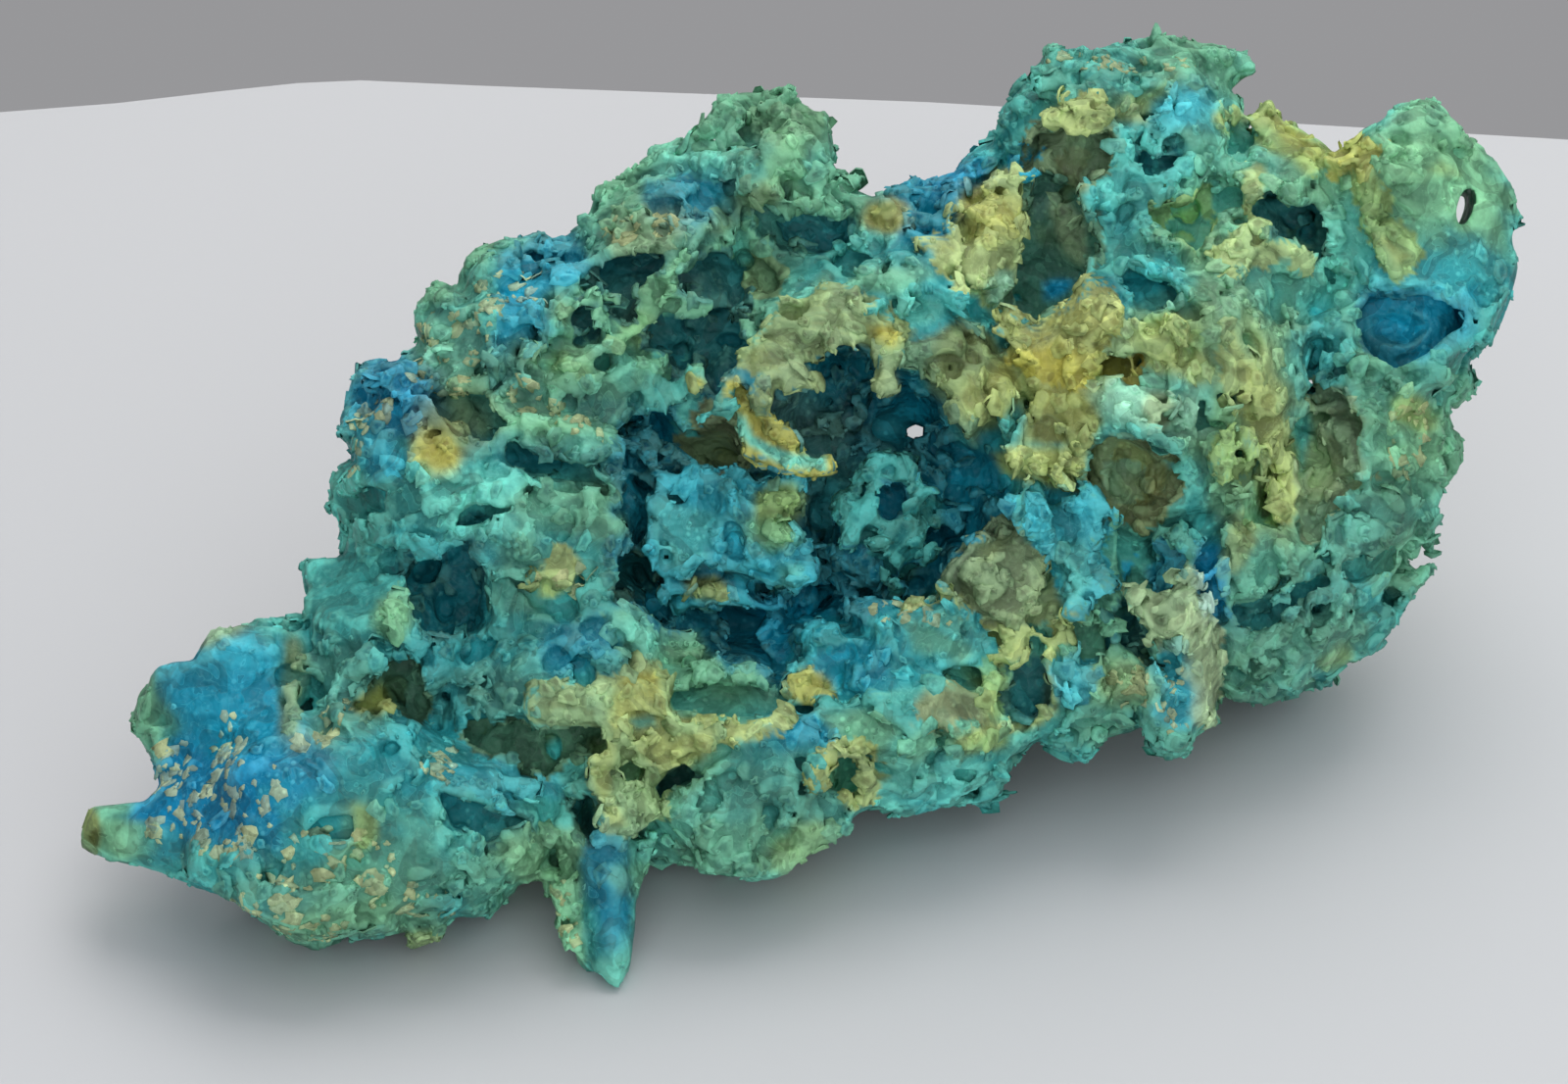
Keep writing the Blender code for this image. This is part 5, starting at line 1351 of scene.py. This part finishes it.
def fullness(reach):
    # how much of the space within this reach is solid
    share = np.clip(mass / grain + 0.5, 0, 1)
    steps = max(1, int(round(reach / grain)))
    for axis in range(3):
        sums = np.cumsum(share, axis, dtype=np.float32)
        count = share.shape[axis]
        ahead = sums.take(np.minimum(np.arange(count) + steps, count - 1), axis)
        behind = sums.take(np.maximum(np.arange(count) - steps - 1, 0), axis)
        share = (ahead - behind) / (2 * steps + 1)
    return share


caves = {"reach": 3.6, "from": 0.52, "width": 0.26}  # how full the space within reach, in mm, has to be


def caveAt(places):
    # how deep in a hollow, from 0 to 1
    return np.clip((sampled(hollowness, places) - caves["from"]) / caves["width"], 0, 1)


def colourOf(places):
    # what shows from the front on the face, and its own ground colour round the back
    size = 1 - places[:, 2] / face["eye"]
    shift = [sampled(wander[k], places) for k in (0, 1)]
    along = places[:, 0] / size + look["strayed"] * shift[0]
    up = places[:, 1] / size + look["strayed"] * shift[1]
    cell = np.clip(np.round((places - low) / grain).astype(int), 0, cells - 1)
    own = owner[tuple(cell.T)]
    front = sampledFlat(facePaint, along, up)
    # partly painted light: the hollows of the face take a bluer paint, a painted glow over their own deeper
    # blue
    front = mixed(front, linear(shades["caveBlue"]), look["caveInFront"] * caveAt(places))
    for (name, strength, _, outline), flat in zip(tints, tintShares):
        share = strength * sampledFlat(flat, along, up)
        if isinstance(outline, str):
            share = np.where(own == numberOf[outline], look["ownShare"] * strength, share * (own == 0))
        front = mixed(front, linear(shades[name]), share)
    around = groundColour(*(sampled(field, places) for field in groundFields))
    # the same painted glow over their own blue in the hollows round the back
    around = mixed(around, linear(shades["hollowBlue"]), look["caveBehind"] * caveAt(places))
    share = np.clip((behindFront(places, skin) - shell["fineTo"]) / look["fade"], 0, 1)
    return mixed(front, around, share)


# how strongly each step of tone lightens or darkens, and where it starts in its uneven field
tones = {"both": 0.1, "lighter": (0.1, 0.55), "darker": (0.08, 0.5), "width": 0.12}


def toneOf(places):
    # small lighter and darker patches with crisp edges
    field = sampled(blotches, places)
    lighter, lightFrom = tones["lighter"]
    darker, darkFrom = tones["darker"]
    return (1 + tones["both"] * np.clip(field / tones["width"], -1, 1)
            + lighter * np.clip((field - lightFrom) / tones["width"], 0, 1)
            - darker * np.clip((-field - darkFrom) / tones["width"], 0, 1))


def lit(colours, cave):
    # brightness all over, and painted light in the hollows: brighter, more coloured paint where shade falls
    return colours * (look["bright"] + cave[:, None] * np.array(look["paintedHollowLight"], np.float32))


def rimsOf(places, cave):
    # 1 on sharp edges and on the lines round plates and holes
    surrounded = sampled(fullness(1.0), places)
    sharp = np.clip((look["edgeFrom"] - surrounded) / look["edgeWidth"], 0, 1)
    drawn = np.maximum(sharp, look["rimShare"] * sampled(rimmed, places))
    drawn = drawn * (1 - look["rimLoss"] * cave)
    return drawn - cave * (1 - drawn)  # under nought in a hollow, where the shells' pale lines fade


flatFray = flatClouds(colourLumps["patchEdge"], 630)
grainy = flatClouds(colourLumps["crisp"], 645)
facePaint = paintFace()
tintShares = [tintShare(soft, outline) for _, _, soft, outline in tints]
groundFields = (cloud(13, 650), clouds(colourLumps["pale"], 660), clouds(colourLumps["yellow"], 670))
blotches = clouds(colourLumps["blotches"], 710)
hollowness = fullness(caves["reach"])
colour = colourOf(points) * toneOf(points)[:, None]
cave = caveAt(points)
rims = rimsOf(points, cave)
# painted light: the hollows of the growth are painted brighter
colour = lit(colour, cave)
print("coloured")


def newMesh(name, places, faces):
    mesh = bpy.data.meshes.new(name)
    mesh.vertices.add(len(places))
    mesh.vertices.foreach_set("co", faceToFrame(places).astype(np.float32).ravel())
    size = faces.shape[1]
    mesh.loops.add(faces.size)
    mesh.loops.foreach_set("vertex_index", faces.astype(np.int32).ravel())
    mesh.polygons.add(len(faces))
    mesh.polygons.foreach_set("loop_start", np.arange(0, faces.size, size, dtype=np.int32))
    mesh.update(calc_edges=True)
    return mesh


def addColour(mesh, colours, rims):
    rimLayer = mesh.attributes.new("rim", "FLOAT", "POINT")
    rimLayer.data.foreach_set("value", rims.astype(np.float32))
    layer = mesh.color_attributes.new("growthColour", "FLOAT_COLOR", "POINT")
    alpha = np.ones((len(colours), 1), np.float32)
    layer.data.foreach_set("color", np.hstack([colours, alpha]).astype(np.float32).ravel())


def newPiece(name, mesh, material):
    piece = bpy.data.objects.new(name, mesh)
    bpy.context.scene.collection.objects.link(piece)
    mesh.materials.append(material)
    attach(piece, "root")
    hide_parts("chalcanthite")
    return piece


def node(tree, kind, **settings):
    made = tree.nodes.new(kind)
    for name, value in settings.items():
        if name in made.inputs:
            made.inputs[name].default_value = value
        else:
            setattr(made, name, value)
    return made


def ranged(tree, value, low, high, least, most):
    ends = {"From Min": low, "From Max": high, "To Min": least, "To Max": most}
    made = node(tree, "ShaderNodeMapRange", **ends)
    tree.links.new(value, made.inputs["Value"])
    return made.outputs["Result"]


def reckoned(tree, kind, operation, sockets):
    # the result of a math node that is fed with links or plain values
    made = node(tree, kind, operation=operation)
    for socket, value in sockets.items():
        if isinstance(value, bpy.types.NodeSocket):
            tree.links.new(value, made.inputs[socket])
        else:
            made.inputs[socket].default_value = value
    return made.outputs[0]


def times(tree, one, other):
    return reckoned(tree, "ShaderNodeMath", "MULTIPLY", {0: one, 1: other})


def bands(tree, place, shells):
    # wavy shells one over another: how far each spot is across its shell, and each shell's own number
    field = node(tree, "ShaderNodeTexNoise", Scale=shells["scale"], Detail=2.0, Roughness=0.5, Distortion=0.6)
    seed = shells["seed"]
    moved = {0: place.outputs["Object"], 1: (seed, 0.3 * seed, -seed)}
    tree.links.new(reckoned(tree, "ShaderNodeVectorMath", "ADD", moved), field.inputs["Vector"])
    many = times(tree, field.outputs["Fac"], shells["count"])
    own = node(tree, "ShaderNodeTexWhiteNoise", noise_dimensions="1D")
    tree.links.new(reckoned(tree, "ShaderNodeMath", "FLOOR", {0: many}), own.inputs["W"])
    return reckoned(tree, "ShaderNodeMath", "FRACT", {0: many}), own.outputs["Value"]


# The finish of the growth: sizes of its patterns are times per metre, bumps are in metres
finish = {
    "shells": {"scale": 260.0, "count": 8.0, "seed": 0.0, "tone": (0.78, 1.22), "line": (0.12, 0.35)},
    "fineShells": {"scale": 620.0, "count": 6.0, "seed": 3.0, "tone": (0.84, 1.16), "line": (0.14, 0.4)},
    "mottle": 1100.0,
    "mottleTone": (0.86, 1.14),
    "dots": 1500.0,
    "crowds": 160.0,  # where the dots crowd together
    "rimLine": 0.7,
    "paler": 1.6,
    "milky": (0.06, 0.11, 0.06),
    "roughness": (0.4, 0.65),
    "bumps": ((0.5, 0.0003), (0.4, 0.00015), (0.55, 0.00016)),  # of the shells, fine shells and dots
    "IOR": 1.5,
    "Specular IOR Level": 0.2,
}


def growthMaterial():
    # painted colour in wavy shells with pale rims and sugar dots, waxy
    material = bpy.data.materials.new("growth")
    material.use_nodes = True
    tree = material.node_tree
    link = tree.links.new
    skinNode = tree.nodes["Principled BSDF"]
    place = node(tree, "ShaderNodeTexCoord")
    painted = node(tree, "ShaderNodeVertexColor", layer_name="growthColour")
    wide, fine = finish["shells"], finish["fineShells"]
    wideAcross, wideOwn = bands(tree, place, wide)
    fineAcross, fineOwn = bands(tree, place, fine)
    mottle = node(tree, "ShaderNodeTexNoise", Scale=finish["mottle"], Detail=4.0, Roughness=0.7)
    dots = node(tree, "ShaderNodeTexVoronoi", Scale=finish["dots"])
    crowd = node(tree, "ShaderNodeTexNoise", Scale=finish["crowds"], Detail=2.0)
    for texture in (mottle, dots, crowd):
        link(place.outputs["Object"], texture.inputs["Vector"])
    tone = times(tree, ranged(tree, wideOwn, 0, 1, *wide["tone"]), ranged(tree, fineOwn, 0, 1, *fine["tone"]))
    tone = times(tree, tone, ranged(tree, mottle.outputs["Fac"], 0.3, 0.7, *finish["mottleTone"]))
    toned = reckoned(tree, "ShaderNodeVectorMath", "SCALE", {0: painted.outputs["Color"], "Scale": tone})
    split = node(tree, "ShaderNodeSeparateColor")
    link(dots.outputs["Color"], split.inputs["Color"])
    chosen = ranged(tree, split.outputs["Red"], 0.5, 0.75, 0, 1)
    spot = ranged(tree, dots.outputs["Distance"], 0.42, 0.22, 0, 1)
    crowded = ranged(tree, crowd.outputs["Fac"], 0.4, 0.62, 0.15, 0.7)
    rim = node(tree, "ShaderNodeAttribute", attribute_name="rim")
    pale = times(tree, times(tree, chosen, spot), crowded)
    bared = ranged(tree, rim.outputs["Fac"], -0.8, 0.0, 0.3, 1)  # fewer pale lines in the hollows
    for share in (times(tree, ranged(tree, wideAcross, 0, *wide["line"], 0), bared),
                  times(tree, ranged(tree, fineAcross, 0, *fine["line"], 0), bared),
                  ranged(tree, rim.outputs["Fac"], 0.3, 0.65, 0, finish["rimLine"])):
        pale = reckoned(tree, "ShaderNodeMath", "MAXIMUM", {0: pale, 1: share})
    lighter = reckoned(tree, "ShaderNodeVectorMath", "SCALE", {0: toned, "Scale": finish["paler"]})
    milky = reckoned(tree, "ShaderNodeVectorMath", "ADD", {0: lighter, 1: finish["milky"]})
    edged = node(tree, "ShaderNodeMix", data_type="RGBA")
    for socket, value in (("Factor", pale), ("A", toned), ("B", milky)):
        link(value, edged.inputs[socket])
    link(edged.outputs["Result"], skinNode.inputs["Base Color"])
    link(ranged(tree, mottle.outputs["Fac"], 0.3, 0.7, *finish["roughness"]), skinNode.inputs["Roughness"])
    shells, fineShells, grains = [node(tree, "ShaderNodeBump", Strength=strength, Distance=height)
                                  for strength, height in finish["bumps"]]
    link(ranged(tree, wideAcross, 0.0, 1.0, 1, 0), shells.inputs["Height"])
    link(ranged(tree, fineAcross, 0.0, 1.0, 1, 0), fineShells.inputs["Height"])
    link(ranged(tree, dots.outputs["Distance"], 0.0, 0.7, 1, 0), grains.inputs["Height"])
    link(shells.outputs["Normal"], fineShells.inputs["Normal"])
    link(fineShells.outputs["Normal"], grains.inputs["Normal"])
    link(grains.outputs["Normal"], skinNode.inputs["Normal"])
    for socket in ("IOR", "Specular IOR Level"):
        skinNode.inputs[socket].default_value = finish[socket]
    return material


growth = growthMaterial()


def splitGrowth():
    # the surface in neighbouring pieces, each of them light enough, with the whole surface's normals
    whole = newMesh("whole", points, quads)
    normals = np.zeros(len(points) * 3, np.float32)
    whole.vertex_normals.foreach_get("vector", normals)
    normals = normals.reshape(-1, 3)
    across = points[quads[:, 0], 0]
    order = np.argsort(across, kind="stable")
    for k, chosen in enumerate(np.array_split(order, shell["pieces"])):
        faces = quads[np.sort(chosen)]
        used, faces = np.unique(faces, return_inverse=True)
        faces = faces.reshape(-1, 4)
        mesh = newMesh(f"growth{k + 1}", points[used], faces)
        mesh.shade_smooth()
        mesh.normals_split_custom_set_from_vertices(normals[used])
        addColour(mesh, colour[used], rims[used])
        newPiece(f"growth{k + 1}", mesh, growth)
        print("piece", k + 1, 2 * len(faces), "triangles")
    bpy.data.meshes.remove(whole)


splitGrowth()


# Thin ragged flakes that lie over one another on the growth, in mm
flakes = {
    "count": 8000,  # with the chips
    "pieces": 2,
    "corners": 10,
    "least": 0.25,
    "spread": 0.9,
    "skew": 2.2,  # the higher, the more small ones
    "thick": (0.05, 0.16),
    "lift": 0.25,  # how far one side stands up
    "liftFrom": 0.3,  # against the flake's size, up to liftMost
    "liftMost": 1.2,
    "stretch": (0.75, 1.35),
    "jitter": 0.2,  # how unevenly the corners stand round, in radians
    "ragged": (0.5, 1.15),
    "drape": 0.35,  # how far a flake follows the surface up or down
    "seated": 0.15,  # how deep its underside lies in the growth
    "tone": (0.78, 1.25),
    "clear": 1.6,  # none lower than this, where the growth meets the floor
    "rimLoss": 0.7,
    "seed": 11,
}
chips = {
    "count": 600,
    "least": 0.25,
    "spread": 0.75,
    "skew": 2,
    "thick": 0.04,
    "bright": 1.35,
    "paleShare": (0.35, 0.75),
    "reach": 1.1,  # a little past the edge of each fleck below
    "farthest": 1.5,  # mm behind the front
}
# how many lie where: on the fine surface, round the back, on the calmest places, off the rims, in hollows
flakeShares = {"fine": 1.0, "behind": 1.8, "calmest": 0.25, "offRims": 0.2, "inHollows": 0.06}

# where pale chips lie: along, up, half width, half height, turn, how closely they stand
flecks = [
    (-50.5, -18.6, 2.4, 1.8, 30, 0.75), (-45.6, -16.8, 1.3, 2.4, 0, 0.7), (-48.2, -22.2, 2.6, 1.3, 15, 0.75),
    (-46, -24.6, 2.2, 1.4, -20, 0.65), (-51, -23.8, 1.6, 0.8, 0, 0.6), (-43.4, -22.6, 1.8, 1.2, 0, 0.6),
    (-40, -24, 1, 0.7, 0, 0.5), (-38, -16.3, 1.8, 0.8, 0, 0.6), (-44, -19.4, 3, 2, 0, 0.3),
    (-27.6, -18.6, 1.4, 1.4, 0, 0.6), (-36.6, -13.6, 1.2, 0.8, 0, 0.5), (-34, 10.4, 1.8, 1.2, 20, 0.7),
    (-35.4, 7.2, 1, 1.2, 0, 0.8), (-24.4, 20.6, 1, 2.6, 0, 0.7), (-21.2, 21, 1.2, 1.8, 0, 0.6),
    (-27.6, 15.8, 3.2, 3.4, 0, 0.42), (-13.4, 25.8, 1.8, 1.2, 0, 0.6), (-10, 26.3, 1.2, 1, 0, 0.5),
    (-20.6, 11.6, 2.4, 1.2, -30, 0.5), (-17, 9.4, 1.8, 0.8, -20, 0.5), (27, 40.5, 7, 0.9, 0, 0.45),
    (-41, -31, 5, 2, -10, 0.45), (-37.5, -26, 6, 2.4, 0, 0.3), (-31, -29.6, 4, 1.6, 0, 0.4),
    (-17.6, -3, 3, 2, 0, 0.3), (29.3, -12, 1.8, 1.6, 0, 0.6), (32, -13, 2, 3, 0, 0.3),
    (-18, -31.5, 1.2, 3.4, 0, 0.5), (52.4, 9, 2, 3, 0, 0.35), (10.5, -6, 3, 0.9, -10, 0.4),
]


def unit(vectors):
    return vectors / np.maximum(np.linalg.norm(vectors, axis=-1, keepdims=True), 1e-6)


def slopeOf(places):
    # the way out of the surface
    slope = np.zeros_like(places)
    for axis in range(3):
        step = np.zeros(3, np.float32)
        step[axis] = 0.5
        slope[:, axis] = sampled(mass, places - step) - sampled(mass, places + step)
    return unit(slope)


def chipShare(places):
    # how likely a pale chip is at each place
    share = np.zeros(len(places), np.float32)
    for *oval, close in flecks:
        inside = ovalDistance(places[:, 0], places[:, 1], *oval) < chips["reach"]
        share = np.maximum(share, close * inside)
    return share


def flakeSpots(rng):
    # mostly on the rims, fewer on the calm places; the pale chips come last
    used = np.bincount(quads.ravel(), minlength=len(points)) > 0
    used = used & (faceToFrame(points)[:, 2] > flakes["clear"] * mm)
    fine = behindFront(points, skin) < shell["fineTo"]
    quiet = np.clip(sampledFlat(calm, points[:, 0], points[:, 1]), flakeShares["calmest"], 1)
    wanted = np.where(fine, flakeShares["fine"], flakeShares["behind"]) * quiet * used
    wanted = wanted * np.maximum(flakeShares["offRims"] + rims, flakeShares["inHollows"])
    common = flakes["count"] - chips["count"]
    common = rng.choice(len(points), common, replace=False, p=wanted / wanted.sum())
    near = behindFront(points, frontDepth(fronts["close"])) < chips["farthest"]
    wanted = chipShare(points) * near * used
    pale = rng.choice(len(points), chips["count"], replace=False, p=wanted / wanted.sum())
    return np.concatenate([common, pale])


def drapedRings(rng, centres):
    # each flake's outline, laid on the surface and raised along one side
    count, corners = flakes["count"], flakes["corners"]
    up = slopeOf(centres)
    first = unit(np.cross(up, rng.normal(0, 1, (count, 3))))
    second = np.cross(up, first)
    size = flakes["least"] + flakes["spread"] * rng.random(count) ** flakes["skew"]
    small = rng.random(chips["count"]) ** chips["skew"]
    size[-chips["count"]:] = chips["least"] + chips["spread"] * small
    stretch = rng.uniform(*flakes["stretch"], count)[:, None]
    jitter = rng.uniform(-flakes["jitter"], flakes["jitter"], (count, corners))
    turn = np.linspace(0, 2 * math.pi, corners, endpoint=False) + jitter
    out = size[:, None] * rng.uniform(*flakes["ragged"], (count, corners))
    x, y = out * np.cos(turn) * stretch, out * np.sin(turn) / stretch
    ring = centres[:, None] + x[..., None] * first[:, None] + y[..., None] * second[:, None]
    depth = sampled(mass, ring.reshape(-1, 3)).reshape(count, corners)
    depth = np.clip(depth, -flakes["drape"], flakes["drape"])
    calmHere = sampledFlat(calm, centres[:, 0], centres[:, 1])
    raised = flakes["lift"] * rng.random(count) * calmHere
    thick = rng.uniform(*flakes["thick"], count)
    thick[-chips["count"]:] = chips["thick"]
    lifted = np.clip(x / size[:, None] + flakes["liftFrom"], 0, flakes["liftMost"])
    over = thick[:, None] + raised[:, None] * lifted
    top = ring + (depth + over)[..., None] * up[:, None]
    under = top - (thick[:, None] + flakes["seated"])[..., None] * up[:, None]
    under = under + 0.05 * (ring - centres[:, None])  # a little wider than the top
    crown = centres + (thick + 0.3 * raised)[:, None] * up
    return crown, top, under


def makeFlakes():
    # each flake is a crown point with a ring above and a ring below
    rng = np.random.default_rng(flakes["seed"])
    count, corners = flakes["count"], flakes["corners"]
    centres = points[flakeSpots(rng)]
    crown, top, under = drapedRings(rng, centres)
    places = np.concatenate([crown[:, None], top, under], 1).astype(np.float32)
    each = np.arange(corners)
    after = (each + 1) % corners
    fan = np.concatenate([
        np.stack([np.zeros(corners, int), 1 + each, 1 + after], 1),
        np.stack([1 + each, 1 + corners + each, 1 + after], 1),
        np.stack([1 + after, 1 + corners + each, 1 + corners + after], 1),
    ])
    hollow = caveAt(centres)
    body = colourOf(centres) * (toneOf(centres) * rng.uniform(*flakes["tone"], count))[:, None]
    pale = chips["bright"] * linear(shades["paleCream"])
    share = rng.uniform(*chips["paleShare"], chips["count"])
    body[-chips["count"]:] = mixed(body[-chips["count"]:], pale, share)
    # painted light: flakes in hollows are painted brighter, as the growth there is
    body = np.repeat(lit(body, hollow)[:, None], 2 * corners + 1, 1)
    rim = np.ones((count, 2 * corners + 1), np.float32) * (1 - flakes["rimLoss"] * hollow[:, None])
    rim[:, 0] = 0
    rim[-chips["count"]:] = 0
    for k, chosen in enumerate(np.array_split(np.argsort(centres[:, 0]), flakes["pieces"])):
        offsets = (np.arange(len(chosen)) * (2 * corners + 1))[:, None, None]
        faces = (fan[None] + offsets).reshape(-1, 3)
        mesh = newMesh(f"flakes{k + 1}", places[chosen].reshape(-1, 3), faces)
        addColour(mesh, body[chosen].reshape(-1, 3), rim[chosen].ravel())
        newPiece(f"flakes{k + 1}", mesh, growth)
        print("flakes", k + 1, len(faces), "triangles")


makeFlakes()


# The floor, the room and the lamps, in metres and watts
stage = {
    "lens": 200.0,
    "distance": 0.7227,
    "thick": 0.01,
    "nearEdge": -420,  # mm
    "floorColour": (0.52, 0.525, 0.545, 1),
    "floorRoughness": 0.55,
    "roomColour": (0.31, 0.31, 0.32, 1),
    "aim": (0, 0, 0.02),  # what every lamp points at
}

# place, size, power and colour of each lamp
lamps = {
    "key": ((0.06, 0.32, 0.55), 0.6, 3.0, (1.0, 0.98, 0.95)),
    "overhead": ((0.08, -0.2, 0.8), 0.8, 1.8, (1, 1, 1)),
    "fill": ((0.05, -0.75, 0.4), 0.9, 3.7, (0.88, 0.97, 1.0)),
    "window": ((0.55, 0.05, 0.36), 0.5, 0.6, (0.84, 0.98, 1.0)),
}


def addCamera():
    camera = bpy.data.objects.new("camera", bpy.data.cameras.new("camera"))
    bpy.context.scene.collection.objects.link(camera)
    camera.data.lens = stage["lens"]
    camera.data.sensor_width = 36
    camera.location = Vector(middle * mm) + Vector(outAxis) * stage["distance"]
    camera.rotation_euler = (math.pi / 2 - lean, 0, 0)
    bpy.context.scene.camera = camera


# along and back in mm: the far edge of the pale board, seen behind the specimen
farEdge = [
    (-420, 20), (-300, 52), (-170, 82), (-110, 95), (-78, 101.5), (-65, 103.4), (-55, 105.6), (-48, 107),
    (-42, 107.5), (-30, 106.5), (12, 103.6), (72, 97), (150, 87), (260, 62), (420, 10),
]


def addFloor():
    near = [(farEdge[-1][0], stage["nearEdge"]), (farEdge[0][0], stage["nearEdge"])]
    outline = [(x * mm, y * mm) for x, y in farEdge + near]
    count = len(outline)
    places = [(x, y, 0) for x, y in outline] + [(x, y, -stage["thick"]) for x, y in outline]
    faces = [list(range(count))[::-1], list(range(count, 2 * count))]
    faces += [[k, (k + 1) % count, count + (k + 1) % count, count + k] for k in range(count)]
    mesh = bpy.data.meshes.new("floor")
    mesh.from_pydata(places, [], faces)
    floor = bpy.data.objects.new("floor", mesh)
    bpy.context.scene.collection.objects.link(floor)
    material = bpy.data.materials.new("paleFloor")
    material.use_nodes = True
    surface = material.node_tree.nodes["Principled BSDF"]
    surface.inputs["Base Color"].default_value = stage["floorColour"]
    surface.inputs["Roughness"].default_value = stage["floorRoughness"]
    floor.data.materials.append(material)


def addLight(name, place, size, power, colour):
    lamp = bpy.data.lights.new(name, "AREA")
    lamp.size = size
    lamp.energy = power
    lamp.color = colour
    light = bpy.data.objects.new(name, lamp)
    bpy.context.scene.collection.objects.link(light)
    light.location = place
    light.rotation_euler = (Vector(place) - Vector(stage["aim"])).to_track_quat("Z", "Y").to_euler()


world = bpy.data.worlds.new("room")
world.use_nodes = True
world.node_tree.nodes["Background"].inputs["Color"].default_value = stage["roomColour"]
bpy.context.scene.world = world
bpy.context.scene.view_settings.view_transform = "Standard"
addCamera()
addFloor()
for name, (place, size, power, tint) in lamps.items():
    addLight(name, place, size, power, tint)
print("camera, floor and lamps")
